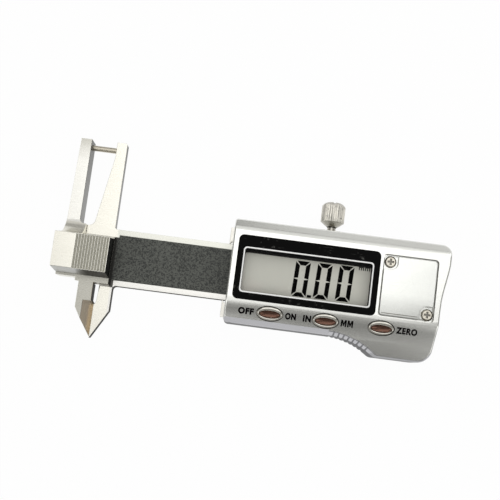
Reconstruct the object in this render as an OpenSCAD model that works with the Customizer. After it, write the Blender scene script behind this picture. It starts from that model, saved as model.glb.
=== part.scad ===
// Digital gemstone gauge, 0 to 25 mm, shown closed and lying on its back plate.
// +X runs along the beam from the jaws to the display, +Y points to the pin arms,
// +Z points out of the display face. The origin is on the back plate's outer face,
// on the beam's centre line and near the middle of the housing.

/* [Beam] */
// Width of the beam
beam_w = 16; // [14:0.5:18]
// Thickness of the beam
beam_t = 3.3; // [3:0.1:3.6]
// Length of the scale that shows between the jaws and the housing
scale_show = 32.1; // [28:0.1:40]
// Opening of the jaws at full travel
travel = 25; // [20:0.5:28]
// Length of the beam inside the slider while the jaws are closed
beam_in_l = 31; // [28:0.5:34]
// Bare steel margin above and below the scale
scale_margin = 1.6; // [1.5:0.1:2]
// Thickness of the scale's circuit strip
scale_board_t = 0.35; // [0.2:0.05:0.4]
// Thickness of the printed strip over the scale
scale_cover_t = 0.15; // [0.1:0.05:0.2]
// Overhang of the scale over the pocket of the fixed jaw
scale_lap = 0.5; // [0.3:0.1:0.6]

/* [Fixed jaw] */
// Height of the fixed arm above the beam's top edge
arm_h = 24.9; // [20:0.1:28]
// Width of the fixed arm at its tip
fixed_arm_w = 2.9; // [2.4:0.1:3.5]
// Length of the parallel part at the fixed arm's tip
arm_tip_l = 4.4; // [3.8:0.1:6]
// Width of the fixed jaw's root
root_w = 9.5; // [9:0.1:10]
// Width of each blade at its root
blade_w = 4.5; // [4.2:0.1:4.7]
// Length of the blades' straight sides below the beam
blade_side_l = 7.1; // [6:0.1:8]
// Length of the blades from the beam to their tips
blade_l = 15.2; // [13:0.1:17]
// Depth of the pocket that the moving jaw's plate lies in
pocket_d = 1.2; // [1:0.05:1.3]

/* [Moving jaw] */
// Distance between the two arms at the pin
pin_l = 7; // [6:0.1:8]
// Diameter of the measuring pin
pin_d = 1.6; // [1.2:0.1:2]
// Width of the moving arm at its tip
moving_arm_w = 3.1; // [2.8:0.1:3.3]
// Height of the moving arm's front above the beam's front
jaw_proud = 1.4; // [1:0.1:1.6]
// Length of the thumb block along the beam
block_l = 15; // [14.5:0.1:16]
// Height of the thumb block's front face
block_h = 9.6; // [8.5:0.1:10.5]
// Height of the thumb block's front above the beam's front
block_proud = 10.1; // [8:0.1:10.3]
// Length of the smooth pad beside the grooves
pad_l = 5.8; // [4:0.1:7]
// Number of grooves on the thumb block
groove_n = 12; // [8:1:14]
// Depth of each groove
groove_d = 0.35; // [0.2:0.05:0.5]

/* [Slider] */
// Thickness of the back plate
back_t = 1.5; // [1.3:0.1:1.8]
// Width of the bar that ties the moving jaw to the slider
bar_w = 6; // [5:0.1:7]
// Thickness of the bar
bar_t = 1.3; // [1.1:0.05:1.4]
// Length of the bar inside the slider
bar_in_l = 15; // [12:0.5:18]
// Thickness of the gib strip
gib_t = 0.9; // [0.7:0.05:1]
// Thickness of the lips that hold the beam down
lip_t = 0.5; // [0.4:0.05:0.7]
// Length of the slider frame that shows beside the housing
frame_show = 1.1; // [0.8:0.1:2]
// Diameter of the lock screw's knurled head
knob_d = 6.7; // [5:0.1:6.8]
// Height of the lock screw's knurled head, cones included
knob_h = 7.3; // [6:0.1:9]
// Diameter of the lock screw's shank
lock_d = 2.4; // [2:0.1:2.6]
// Height of the lock screw's neck above the housing
neck_h = 2.2; // [1.5:0.1:3]
// Place of the lock screw from the housing's left end
lock_place = 27.15; // [22:0.05:32]
// Diameter of the screws that hold the slider together
screw_d = 1.9; // [1.6:0.1:2]
// Diameter of their heads
head_d = 3.2; // [2.8:0.1:3.4]
// Diameter of the small screws
small_d = 1.4; // [1.2:0.1:1.6]
// Diameter of the small screws' heads
small_head_d = 2.6; // [2.2:0.1:2.8]

/* [Housing] */
// Bare face left of the display frame
face_left = 1.7; // [1.5:0.1:3]
// Bare face right of the battery door
face_right = 3.45; // [3:0.05:6]
// Bare face above the display frame, bevel included
face_top = 4.5; // [4:0.1:6]
// Strip between the display frame and the button panel
strip_h = 0.6; // [0.5:0.05:1.5]
// Thickness of the housing's walls
wall = 1.2; // [1:0.05:1.4]
// Depth of the thumb grip below the housing's bottom edge
grip_d = 4.3; // [3.5:0.1:5]
// Radius of the thumb grip's hollow
grip_r = 21.4; // [19:0.1:24]
// Place of the hollow's left end from the housing's left end
grip_place = 28.9; // [26:0.1:32]
// Depth of the waist in the housing's right side
waist = 1.7; // [1:0.1:2]
// Slope of the button panel in degrees
panel_a = 17; // [14:1:20]
// Number of ribs in the thumb grip
rib_n = 8; // [4:1:10]

/* [Display] */
// Length of the silver trim ring
trim_l = 35.7; // [32:0.1:40]
// Height of the silver trim ring
trim_h = 12.5; // [11:0.1:14]
// Width of the black display frame beside the trim ring
bezel_side = 1.55; // [1.3:0.05:2]
// Width of the black frame above the ring
bezel_top = 3.15; // [2.5:0.05:4]
// Width of the black frame below the ring
bezel_low = 1.85; // [1.6:0.05:3]
// Width of the trim ring's bead
trim_w = 0.45; // [0.3:0.05:0.7]
// Thickness of the clear window
lens_t = 0.7; // [0.5:0.05:0.8]
// Thickness of the liquid crystal panel
lcd_t = 2; // [1.6:0.1:2.2]
// Thickness of the circuit board
board_t = 0.8; // [0.6:0.1:1]

/* [Buttons] */
// Length of each oval button
button_l = 7.2; // [6:0.1:7.6]
// Height of each oval button
button_h = 3.9; // [3:0.1:4.2]
// Distance between neighbouring buttons
button_pitch = 15.15; // [13:0.05:16]
// Place of the first button from the housing's left end
button_place = 12.4; // [11:0.1:14]
// Bare panel above the buttons
button_drop = 0.45; // [0.4:0.05:1]
// Room between the buttons and the bottom wall
button_low = 0.45; // [0.4:0.05:1]
// Travel of the buttons
press = 0.4; // [0.2:0.05:0.5]
// Height of the buttons above the panel
button_proud = 0.6; // [0.4:0.05:0.8]

/* [Battery] */
// Length of the battery door
door_l = 15.1; // [13.5:0.1:17]
// Strip between the display frame and the battery door
door_gap = 0.75; // [0.65:0.05:2]
// Thickness of the battery door
door_t = 1.3; // [1.2:0.05:1.4]
// Diameter of the coin cell
cell_d = 11.6; // [11:0.1:11.8]
// Height of the coin cell
cell_h = 5.4; // [4.2:0.1:5.4]
// Room over the coin cell under its door
cell_play = 1.45; // [1:0.05:3]
// Diameter of the spring plate under the cell
contact_d = 7; // [5:0.1:9]
// Width of the clip at the cell's side
clip_w = 3; // [2:0.1:5]

/* [Clearances] */
// Clearance of the sliding beam on each side
slide_gap = 0.05; // [0.03:0.01:0.08]
// Clearance around fixed pieces that drop into a seat
seat_gap = 0.06; // [0.04:0.01:0.1]
// Clearance around a button in its hole
button_gap = 0.12; // [0.08:0.01:0.2]
// Radial clearance of the lock screw in its bore
lock_gap = 0.04; // [0.02:0.01:0.08]

/* [Hidden] */
$fn = 48;
eps = 0.01;
far = 60;

// Heights
beam_z0 = back_t + slide_gap;
beam_z1 = beam_z0 + beam_t;
beam_zm = (beam_z0 + beam_z1) / 2;
pocket_z = beam_z1 - pocket_d;
jaw_z1 = beam_z1 + jaw_proud;
block_z1 = beam_z1 + block_proud;
lip_z0 = beam_z1 + slide_gap;
frame_z1 = lip_z0 + lip_t;
board_z1 = frame_z1 + board_t;
cell_z = board_z1 + 0.5;
door_z0 = cell_z + cell_h + cell_play;
cover_z = door_z0 + door_t + 0.05;
face_in = cover_z - wall - 0.1;
lens_z1 = face_in - 0.1;
lcd_z1 = lens_z1 - lens_t;
pad_z = board_z1 + 0.6;
key_z = pad_z + 1.6;
lock_z = max(beam_zm, knob_d / 2 + 0.2);
rim_z = 0.5;

// Places along X: the housing is long enough for its face and for the travel
cover_x0 = -29.9;
frame_x0 = cover_x0 - frame_show;
beam_x1 = frame_x0 + beam_in_l;
end_stop = beam_x1 + travel + 0.2;
end_wall = 1.4;
bezel_l = trim_l + 2 * bezel_side;
lcd_x = cover_x0 + face_left + bezel_l / 2;
door_x = lcd_x + bezel_l / 2 + door_gap + door_l / 2;
cover_x1 = max(door_x + door_l / 2 + face_right, end_stop + end_wall + waist + wall + seat_gap);
pocket_x1 = cover_x0 - scale_show;
contact_x = pocket_x1 - blade_w;
root_x = pocket_x1 - root_w;
block_x1 = pocket_x1 - 1.1;
block_x0 = block_x1 - block_l;
arm_x1 = contact_x - pin_l;
lock_x = cover_x0 + lock_place;
bar_x0 = root_x - 5;
bar_x1 = frame_x0 + bar_in_l;
gib_x = [cover_x0 + 3.9, beam_x1 + 14];
gib_screw_xs = [gib_x[0] + 5, gib_x[1] - 5];
button_xs = [for (i = [0:2]) cover_x0 + button_place + i * button_pitch];

// Places along Y: the housing is high enough for its face and for the slider's rails
beam_y = beam_w / 2;
scale_y = beam_y - scale_margin;
groove_y = bar_w / 2 + 2 * slide_gap;
gib_y1 = beam_y + slide_gap + gib_t;
bezel_h = bezel_top + trim_h + bezel_low;
panel_h = button_drop + button_h + button_low + wall;
rail_w = head_d + 0.6;
cover_y = max((face_top + bezel_h + strip_h + panel_h) / 2, gib_y1 + rail_w + seat_gap + wall);
frame_y = cover_y - wall - seat_gap;
bezel_y = cover_y - face_top - bezel_h / 2;
lcd_y = cover_y - face_top - bezel_top - trim_h / 2;
panel_y = cover_y - face_top - bezel_h - strip_h;
button_y = panel_y - button_drop - button_h / 2;
door_y = bezel_y - 0.15;
door_h = bezel_h - 0.4;
pocket_y1 = beam_y - 2.3;
blade_y0 = -beam_y - 0.4;
plate_y0 = -beam_y + 0.2;
arm_top = beam_y + arm_h;
pin_y = arm_top - 2.2;
groove_z = back_t + bar_t + 2 * slide_gap;

// Screw rows in the slider frame's rails
rail_top_y = (gib_y1 + frame_y) / 2;
rail_low_y = -(beam_y + frame_y) / 2;
post_d = head_d + 0.2;
post_x0 = cover_x0 + 6.7;
post_x1 = cover_x1 - 8.9;
back_screws = [for (x = [cover_x0 + 2.9, cover_x1 - 5.3], y = [rail_top_y, rail_low_y]) [x, y]];
cover_posts = [[post_x0, rail_top_y], [post_x1, rail_top_y], [post_x0 - 0.8, rail_low_y],
               [post_x1 - 0.6, rail_low_y]];
door_screws = [[door_x - door_l / 2 + 2, door_y + door_h / 2 - 2],
               [door_x + door_l / 2 - 1.8, door_y - door_h / 2 + 2]];

// The circuit board lies between the posts, and its lower screws between the buttons
board_x0 = post_x0 + post_d / 2 + 0.6;
board_x1 = post_x1 - post_d / 2 - 1.8;
board_y0 = 0.5 - frame_y;
board_holes = [[board_x0 + 2.3, rail_top_y], [board_x1 - 2.7, rail_top_y],
               for (i = [0, 1]) [button_xs[i] + button_pitch / 2, board_y0 + 1]];

// Points of an arc from angle a0 to a1
function arc(x, y, r, a0, a1, n = 8) =
    [for (i = [0:n]) let (a = a0 + (a1 - a0) * i / n) [x + r * cos(a), y + r * sin(a)]];

// Points of a rounded rectangle centred on the origin
function rounded(l, h, r) = concat(
    arc(l / 2 - r, h / 2 - r, r, 0, 90), arc(r - l / 2, h / 2 - r, r, 90, 180),
    arc(r - l / 2, r - h / 2, r, 180, 270), arc(l / 2 - r, r - h / 2, r, 270, 360));

// Points of an ellipse centred on the origin
function oval(l, h) = [for (i = [0:39]) [l / 2 * cos(9 * i), h / 2 * sin(9 * i)]];

// Outline of the housing, moved inwards by g: the thumb grip's hollow is an arc
// that runs down into the fuller right end
grip_x = cover_x0 + grip_place;
grip_corner = 2.5;
grip_a = acos(1 - grip_d / (grip_r + grip_corner));
left_r = 1.2;
top_r = 2.5;
end_r = 4;
function housing_outline(g = 0) = concat(
    arc(cover_x0 + left_r, left_r - cover_y, left_r - g * 0.4, 180, 270, 6)
        + [for (i = [0:6]) g * [0.6, 0.6]],
    arc(grip_x, -cover_y - grip_r, grip_r + g, 90, 90 - grip_a, 10),
    arc(grip_x + (grip_r + grip_corner) * sin(grip_a), grip_corner - cover_y - grip_d,
        grip_corner - g, 270 - grip_a, 270, 5),
    arc(cover_x1 - waist - 0.7 - end_r, end_r - cover_y - grip_d, end_r - g, 270, 356, 8),
    [[cover_x1 - waist - g, -0.57 * cover_y], [cover_x1 - waist + 0.15 - g, -0.1 * cover_y],
     [cover_x1 - g, 0.56 * cover_y]],
    arc(cover_x1 - top_r, cover_y - top_r, top_r - g, 0, 90, 6),
    arc(cover_x0 + 0.8, cover_y - 0.8, 0.8 - g * 0.4, 90, 180, 4) + [for (i = [0:4]) g * [0.6, -0.6]]);

// Section of the housing across the beam: a bevel above the flat display face,
// the sloping button panel below it
bevel_y = cover_y - 2.7;
function panel_z(y, top) = top - (panel_y - y) * tan(panel_a);
function housing_section(top) = [
    [-30, -eps], [-30, panel_z(-30, top)], [panel_y, top], [bevel_y, top],
    [cover_y + 3, top - 0.72 * (cover_y + 3 - bevel_y)], [cover_y + 3, -eps]];

module section_prism(points) {
    translate([-far, 0, 0]) rotate([90, 0, 90]) linear_extrude(2 * far) polygon(points);
}

module plate_at(z0, z1, points) {
    translate([0, 0, z0]) linear_extrude(z1 - z0) polygon(points);
}

module box(x, y, z) {
    translate([x[0], y[0], z[0]]) cube([x[1] - x[0], y[1] - y[0], z[1] - z[0]]);
}

module post(p, d, z0, z1) {
    translate([p[0], p[1], z0]) cylinder(d = d, h = z1 - z0);
}

// Cross recess of a screw head, cut down from the origin
module cross_slot(d) {
    slot_w = d * 0.16;
    slot_l = d * 0.55;
    slot_d = d * 0.14;
    for (a = [0, 90])
        rotate(a) translate([-slot_l / 2, -slot_w / 2, -slot_d]) cube([slot_l, slot_w, slot_d + 1]);
}

// Flat-headed screw with its head's face at the origin and its shank down -Z
module flat_screw(d, head, l) {
    difference() {
        rotate_extrude() polygon([[0, 0], [head / 2, 0], [head / 2, -0.15],
                                  [d / 2, -0.15 - (head - d) / 2], [d / 2, -l], [0, -l]]);
        cross_slot(head);
    }
}

// Seat of a flat-headed screw
module flat_seat(d, head, l) {
    rotate_extrude() polygon([[0, eps], [head / 2 + seat_gap, eps], [head / 2 + seat_gap, -0.15 - seat_gap],
                              [d / 2 + seat_gap, -0.15 - seat_gap - (head - d) / 2],
                              [d / 2 + seat_gap, -l], [0, -l]]);
}

// Pan-headed screw with its head's underside at the origin and its shank down -Z
module pan_screw(d, head, head_h, l) {
    difference() {
        rotate_extrude() polygon([[0, -l], [d / 2, -l], [d / 2, 0], [head / 2, 0],
                                  [head / 2, head_h * 0.5], [head * 0.38, head_h], [0, head_h]]);
        translate([0, 0, head_h]) cross_slot(head);
    }
}

module from_back(p, z) {
    translate([p[0], p[1], z]) rotate([180, 0, 0]) children();
}

// Beam with its arm and blade, which are one plate of steel
module beam_outline() {
    taper_y = arm_top - arm_tip_l;
    foot_y = beam_y + 1.2;
    root_r = 1.5;
    polygon(concat(
        [[beam_x1, -beam_y], [beam_x1, beam_y], [contact_x + fixed_arm_w + 0.4, beam_y]],
        [[contact_x + fixed_arm_w, beam_y + 0.4]],
        arc(contact_x + fixed_arm_w - 0.5, arm_top - 0.5, 0.5, 0, 90, 4),
        [[contact_x, arm_top], [contact_x, taper_y], [root_x + 1.9, foot_y]],
        arc(root_x + 0.4, beam_y + 0.3 + root_r, root_r, -20, -90, 5),
        [[root_x, beam_y + 0.3], [root_x, -beam_y], [contact_x + 0.6, -beam_y]],
        [[contact_x + 0.6, blade_y0 - 4.6], [contact_x, blade_y0 - 5.2]],
        [[contact_x, -beam_y - blade_l], [pocket_x1, -beam_y - blade_side_l]],
        arc(pocket_x1 + 1, -beam_y - 1, 1, 180, 90, 5)));
}

module beam() color([0.87, 0.86, 0.82]) difference() {
    translate([0, 0, beam_z0]) linear_extrude(beam_t) beam_outline();
    // pocket for the moving jaw's plate
    box([root_x - 1, pocket_x1], [blade_y0, pocket_y1], [pocket_z, beam_z1 + 1]);
    // seat of the scale
    box([pocket_x1 - eps, beam_x1 + 1], [-scale_y, scale_y],
        [beam_z1 - scale_board_t - scale_cover_t - 0.05, beam_z1 + 1]);
    // groove for the connecting bar
    box([root_x - 1, beam_x1 + 1], [-groove_y, groove_y], [0, groove_z]);
}

module scale_strip(z0, z1, g) {
    box([pocket_x1 - scale_lap, beam_x1 - 0.5], [g - scale_y, scale_y - g], [z0, z1]);
}

module scale_board() color([0.75, 0.62, 0.35])
    scale_strip(beam_z1 - 0.05 - scale_cover_t - scale_board_t, beam_z1 - 0.05 - scale_cover_t, 0);

module scale_cover() color([0.26, 0.28, 0.26])
    scale_strip(beam_z1 - 0.05 - scale_cover_t, beam_z1 - 0.05, 0);

// Section of the thumb block across the beam: faces that lean in towards the front
block_y = -0.5;
block_top = block_y + block_h / 2;
block_low = block_y - block_h / 2;
lean = 0.1;
back_y = block_top + lean * (block_z1 - jaw_z1);
function block_section(z0) = [
    [block_low - lean * (block_z1 - z0), z0], [block_low, block_z1],
    [block_top, block_z1], [block_top + lean * (block_z1 - z0), z0]];

// The moving arm's outline with the shoulder that seats on the fixed jaw's root
arm_left_x = arm_x1 - moving_arm_w - 0.7;
module arm_outline() {
    shoulder_y = beam_y + 0.3;
    polygon(concat(
        [[arm_x1, arm_top - 0.3], [arm_x1 - moving_arm_w, arm_top - 0.3]],
        [[arm_left_x, back_y], [block_x0, back_y], [block_x0, block_low - lean * block_z1]],
        [[root_x - slide_gap, block_low - lean * block_z1], [root_x - slide_gap, shoulder_y]],
        arc(arm_x1 + 1.2, shoulder_y + 1.2, 1.2, 270, 180, 5)));
}

// Round hollow in which the arm's front runs up to the block's back
module arm_hollow() {
    hollow_r = 6;
    hollow_z = jaw_z1 + hollow_r - 0.17;
    hollow_y = block_top + lean * (block_z1 - hollow_z) + hollow_r + 0.15;
    difference() {
        translate([0, 0, jaw_z1 - 1]) linear_extrude(hollow_z - jaw_z1 + 1) intersection() {
            arm_outline();
            translate([arm_left_x, block_top - 0.5]) square([root_w + 8, hollow_r]);
        }
        translate([block_x0 - 1, hollow_y, hollow_z]) rotate([0, 90, 0])
            cylinder(r = hollow_r, h = root_w + 9, $fn = 64);
    }
}

module moving_jaw() color([0.87, 0.86, 0.82]) difference() {
    union() {
        // arm and body behind the block
        linear_extrude(jaw_z1) arm_outline();
        arm_hollow();
        // thumb block
        translate([block_x0, 0, 0]) rotate([90, 0, 90]) linear_extrude(root_x - slide_gap - block_x0)
            polygon(block_section(jaw_z1 - eps));
        translate([root_x - 1, 0, 0]) rotate([90, 0, 90]) linear_extrude(block_x1 - root_x + 1)
            polygon(block_section(jaw_z1 - eps));
        // plate that lies in the fixed jaw's pocket
        box([root_x - 1, block_x1 + 0.2], [plate_y0, pocket_y1 - 0.1], [pocket_z + slide_gap, jaw_z1]);
        moving_blade();
    }
    // grooves for the thumb
    groove_pitch = (block_l - pad_l) / groove_n;
    for (i = [0:groove_n - 1])
        translate([block_x0 + pad_l + groove_pitch * (i + 0.5), 0, block_z1])
            rotate([90, 0, 0]) linear_extrude(far, center = true)
                polygon([[-groove_pitch * 0.45, eps], [0, -groove_d], [groove_pitch * 0.45, eps]]);
    // seat of the measuring pin
    translate([arm_x1 - moving_arm_w - 1, pin_y, beam_zm]) rotate([0, 90, 0])
        cylinder(d = pin_d, h = moving_arm_w + 2);
    // seat of the connecting bar and its screws
    box([bar_x0 - seat_gap, root_x], [-bar_w / 2 - seat_gap, bar_w / 2 + seat_gap],
        [back_t, back_t + bar_t + seat_gap]);
    for (p = jaw_screw_places) from_back(p, 0) flat_seat(small_d, small_head_d, 4);
}

jaw_screw_places = [for (s = [-1, 1]) [(bar_x0 + root_x) / 2 - 0.5, s * (bar_w / 2 - 1.3)]];

// The moving blade, with the wide face ground down to its measuring edge
module moving_blade() {
    bevel_w = 3;
    slot_x = contact_x - 0.7;
    slot_y = blade_y0 - 4.4;
    left_x = contact_x - blade_w - 0.35;
    difference() {
        translate([0, 0, beam_z0]) linear_extrude(jaw_z1 - beam_z0) polygon([
            [left_x, plate_y0 - 0.3], [left_x, -beam_y - blade_side_l],
            [contact_x, -beam_y - blade_l], [contact_x, slot_y - 0.8], [slot_x, slot_y],
            [slot_x, plate_y0 - 0.3]]);
        translate([contact_x - bevel_w, 0, jaw_z1]) rotate([0, 43, 0])
            box([0, 8], [-far, slot_y - 0.2], [0, 8]);
    }
    box([left_x, slot_x], [plate_y0 - 0.3 - eps, plate_y0 + 1], [pocket_z + slide_gap, jaw_z1]);
}

module measuring_pin() color([0.8, 0.78, 0.72])
    translate([arm_x1 - moving_arm_w, pin_y, beam_zm]) rotate([0, 90, 0])
        rotate_extrude() polygon([[0, 0], [pin_d / 2, 0], [pin_d / 2, pin_l + moving_arm_w - 0.15],
                                  [pin_d / 2 - 0.15, pin_l + moving_arm_w], [0, pin_l + moving_arm_w]]);

module connecting_bar() color([0.8, 0.8, 0.79]) difference() {
    box([bar_x0, bar_x1], [-bar_w / 2, bar_w / 2], [back_t, back_t + bar_t]);
    for (p = jaw_screw_places) post(p, small_d + 2 * seat_gap, 0, far);
    for (p = bar_screw_places) post(p, screw_d + 2 * seat_gap, 0, far);
}

bar_screw_places = [[frame_x0 + 5, 0], [bar_x1 - 4, 0]];

module jaw_screws() color([0.7, 0.7, 0.7])
    for (p = jaw_screw_places) from_back(p, 0.05) flat_screw(small_d, small_head_d, back_t + bar_t + 0.8);

module bar_screws() color([0.7, 0.7, 0.7])
    for (p = bar_screw_places) from_back(p, 0.05) flat_screw(screw_d, head_d, back_t + bar_t - 0.1);

// Outline of the slider frame, which stays inside the housing but for its left end
module frame_outline(g) {
    polygon(housing_outline(wall + seat_gap + g));
    translate([frame_x0 + g, g - frame_y + 0.35]) square([4, 2 * frame_y - 2 * g - 0.7]);
}

module slider_frame() color([0.84, 0.83, 0.8]) difference() {
    translate([0, 0, back_t]) linear_extrude(frame_z1 - back_t) frame_outline(0);
    // channel for the beam, open at the back and the left
    box([frame_x0 - 1, end_stop], [-beam_y - slide_gap, beam_y + slide_gap], [0, lip_z0]);
    // window over the scale between the lips
    box([frame_x0 - 1, end_stop], [-scale_y - 0.4, scale_y + 0.4], [0, far]);
    // the lips stop where the frame leaves the housing
    box([frame_x0 - 1, cover_x0 + 0.4], [-beam_y - slide_gap, beam_y + slide_gap], [0, far]);
    for (s = [-1, 1]) post([cover_x0 - 0.3, s * (beam_y + 0.2)], 0.9, 0, far);
    // pocket for the gib strip
    box([gib_x[0] - seat_gap, gib_x[1] + seat_gap], [beam_y - 1, gib_y1 + 0.04],
        [0, beam_z1 - slide_gap + eps]);
    for (x = gib_screw_xs) translate([x, gib_y1 - 0.5, beam_zm]) rotate([-90, 0, 0])
        cylinder(d = screw_d + 2 * seat_gap, h = 10);
    translate([lock_x, gib_y1 - 0.5, lock_z]) rotate([-90, 0, 0])
        cylinder(d = lock_d + 2 * lock_gap, h = 10);
    for (p = back_screws) post(p, screw_d + 2 * seat_gap, 0, frame_z1 - 0.5);
    for (p = cover_posts) from_back(p, back_t) flat_seat(screw_d, head_d, far);
    for (p = board_holes) post(p, small_d + 2 * seat_gap, frame_z1 - 2, far);
}

module gib_strip() color([0.8, 0.62, 0.3])
    box(gib_x, [beam_y + slide_gap, gib_y1], [beam_z0, beam_z1 - slide_gap]);

module gib_screws() color([0.35, 0.35, 0.36])
    for (x = gib_screw_xs) translate([x, gib_y1 + 0.02, beam_zm]) rotate([-90, 0, 0])
        difference() {
            cylinder(d = screw_d, h = frame_y - gib_y1 - 0.6);
            translate([-1.5, -0.2, frame_y - gib_y1 - 1.1]) cube([3, 0.4, 1]);
        }

module back_plate() color([0.82, 0.82, 0.8]) difference() {
    linear_extrude(back_t) intersection() {
        frame_outline(0.3);
        translate([cover_x0 + 0.7, -far]) square([2 * far, 2 * far]);
    }
    for (p = concat(back_screws, bar_screw_places)) from_back(p, 0) flat_seat(screw_d, head_d, far);
}

module back_plate_screws() color([0.7, 0.7, 0.7])
    for (p = back_screws) from_back(p, 0.05) flat_screw(screw_d, head_d, back_t + 2.6);

// Lock screw: knurled head with a cone each side, neck and plain shank
module lock_screw() color([0.78, 0.75, 0.7]) {
    knurl_n = 28;
    knob_y0 = cover_y + neck_h;
    knurl_d = 0.25;
    cone = 1.4;
    r = knob_d / 2;
    translate([lock_x, 0, lock_z]) rotate([-90, 0, 0]) {
        difference() {
            union() {
                translate([0, 0, knob_y0 + cone]) linear_extrude(knob_h - 2 * cone) polygon([
                    for (i = [0:2 * knurl_n - 1]) let (a = 180 * i / knurl_n, q = r - knurl_d * (i % 2))
                        [q * cos(a), q * sin(a)]]);
                rotate_extrude() polygon([
                    [0, knob_y0], [lock_d / 2 + 0.2, knob_y0], [r - knurl_d - 0.05, knob_y0 + cone - 0.1],
                    [r - knurl_d - 0.05, knob_y0 + knob_h - cone + 0.1],
                    [r - 1.2, knob_y0 + knob_h - 0.25], [r - 1.6, knob_y0 + knob_h], [0, knob_y0 + knob_h]]);
            }
            translate([-0.4, -5, knob_y0 + knob_h - 0.7]) cube([0.8, 10, 1]);
        }
        translate([0, 0, gib_y1 + 0.03]) cylinder(d = lock_d, h = knob_y0 - gib_y1 + 0.1);
    }
}

// Housing: one shell with posts for its screws and a rim under the battery door
module housing_cover() color([0.78, 0.78, 0.78]) difference() {
    rim = door_gap - 0.15;
    union() {
        difference() {
            intersection() {
                plate_at(rim_z, cover_z, housing_outline(0));
                section_prism(housing_section(cover_z));
            }
            intersection() {
                plate_at(rim_z - 1, cover_z, housing_outline(wall));
                section_prism(housing_section(face_in));
            }
            bottom_edge_cuts();
        }
        intersection() {
            union() {
                for (p = cover_posts) post(p, post_d, frame_z1, cover_z - 0.5);
                for (p = door_screws) post(p, post_d, door_z0 - 5, cover_z - 0.5);
                plate_at(door_z0 - 1, cover_z - 0.5,
                         [for (p = rounded(door_l + 2 * rim, door_h + 2 * rim, 1.4)) p + [door_x, door_y]]);
            }
            plate_at(rim_z, cover_z, housing_outline(0.5));
            section_prism(housing_section(cover_z - 0.5));
        }
    }
    // opening for the slider frame and the beam
    box([cover_x0 - 1, cover_x0 + wall + 1], [-frame_y - seat_gap, frame_y + seat_gap],
        [0, frame_z1 + seat_gap]);
    // opening for the display frame and its flange
    plate_at(face_in - 1, cover_z + 1, [for (p = rounded(bezel_l + 2 * seat_gap, bezel_h + 2 * seat_gap, 1.4))
                                        p + [lcd_x, bezel_y]]);
    at_display(0) bezel_flange(seat_gap);
    // recess of the battery door with the way in for the cell
    plate_at(door_z0, cover_z + 1, [for (p = rounded(door_l + 2 * seat_gap, door_h + 2 * seat_gap, 1))
                                    p + [door_x, door_y]]);
    post([door_x, door_y], cell_d + 0.6, 0, cover_z);
    for (p = door_screws) post(p, screw_d + 2 * seat_gap, door_z0 - 4.5, cover_z);
    for (x = button_xs)
        plate_at(frame_z1, cover_z + 1, [for (p = oval(button_l + 2 * button_gap, button_h + 2 * button_gap))
                                         p + [x, button_y]]);
    for (p = cover_posts) post(p, screw_d + 2 * seat_gap, 0, frame_z1 + 5);
    translate([lock_x, frame_y - 1, lock_z]) rotate([-90, 0, 0]) cylinder(d = lock_d + 0.8, h = 5);
    for (x = gib_screw_xs) translate([x, frame_y - 1, beam_zm]) rotate([-90, 0, 0]) cylinder(d = 2.2, h = 5);
    grip_ribs();
}

// Bevels along the bottom edge of the button panel: wide before the grip, fine after it
module bottom_edge_cuts() {
    low_z = panel_z(-cover_y, cover_z);
    grip_z = panel_z(-cover_y - grip_d, cover_z);
    translate([grip_x, -cover_y, low_z - 1.6]) rotate([-37, 0, 0])
        box([-far, 0], [-8, 0], [0, 8]);
    translate([0, -cover_y - grip_d, grip_z - 0.5]) rotate([-37, 0, 0])
        box([grip_x + (grip_r + grip_corner) * sin(grip_a) - 4.7, far], [-8, 0], [0, 8]);
}

// Fine ribs across the hollow of the thumb grip
module grip_ribs() {
    rib_r = 0.45;
    rib_y = grip_r - 0.32;
    for (i = [0:rib_n - 1]) {
        a = 90 - grip_a * (i + 1) / (rib_n + 1.5);
        translate([grip_x + rib_y * cos(a), rib_y * sin(a) - cover_y - grip_r, 0])
            cylinder(r = rib_r, h = cover_z, $fn = 24);
    }
}

module cover_screws() color([0.7, 0.7, 0.7])
    for (p = cover_posts) from_back(p, back_t + 0.05) flat_screw(screw_d, head_d, frame_z1 - back_t + 3);

module at_display(y) {
    translate([lcd_x, y, 0]) children();
}

// Flange above and below the display frame that bears on the inside of the face
flange_t = 0.8;
flange_w = 0.6;
module bezel_flange(g) {
    plate_at(face_in - flange_t - g, face_in,
             [for (p = rounded(bezel_l + 2 * g, bezel_h + 2 * flange_w + 2 * g, 1.6)) p + [0, bezel_y]]);
}

module display_bezel() color([0.05, 0.05, 0.05]) at_display(0) difference() {
    union() {
        plate_at(face_in - flange_t, cover_z - 0.05,
                 [for (p = rounded(bezel_l, bezel_h, 1.35)) p + [0, bezel_y]]);
        bezel_flange(0);
    }
    plate_at(0, far, [for (p = rounded(trim_l + 2 * seat_gap, trim_h + 2 * seat_gap, 1)) p + [0, lcd_y]]);
}

module display_trim() color([0.85, 0.85, 0.85]) at_display(lcd_y) difference() {
    plate_at(lens_z1, cover_z + 0.05, rounded(trim_l, trim_h, 0.95));
    plate_at(0, far, rounded(trim_l - 2 * trim_w, trim_h - 2 * trim_w, 0.6));
}

module display_window() color([0.8, 0.85, 0.85, 0.35]) at_display(lcd_y)
    plate_at(lens_z1 - lens_t, lens_z1, rounded(trim_l - 0.02, trim_h - 0.02, 0.95));

lcd_l = trim_l - 0.8;
lcd_h = trim_h + 1.4;
zebra_w = 2;

module lcd_panel() color([0.72, 0.73, 0.69]) at_display(lcd_y)
    box([-lcd_l / 2, lcd_l / 2], [-lcd_h / 2, lcd_h / 2], [lcd_z1 - lcd_t, lcd_z1 - 0.8]);

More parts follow.
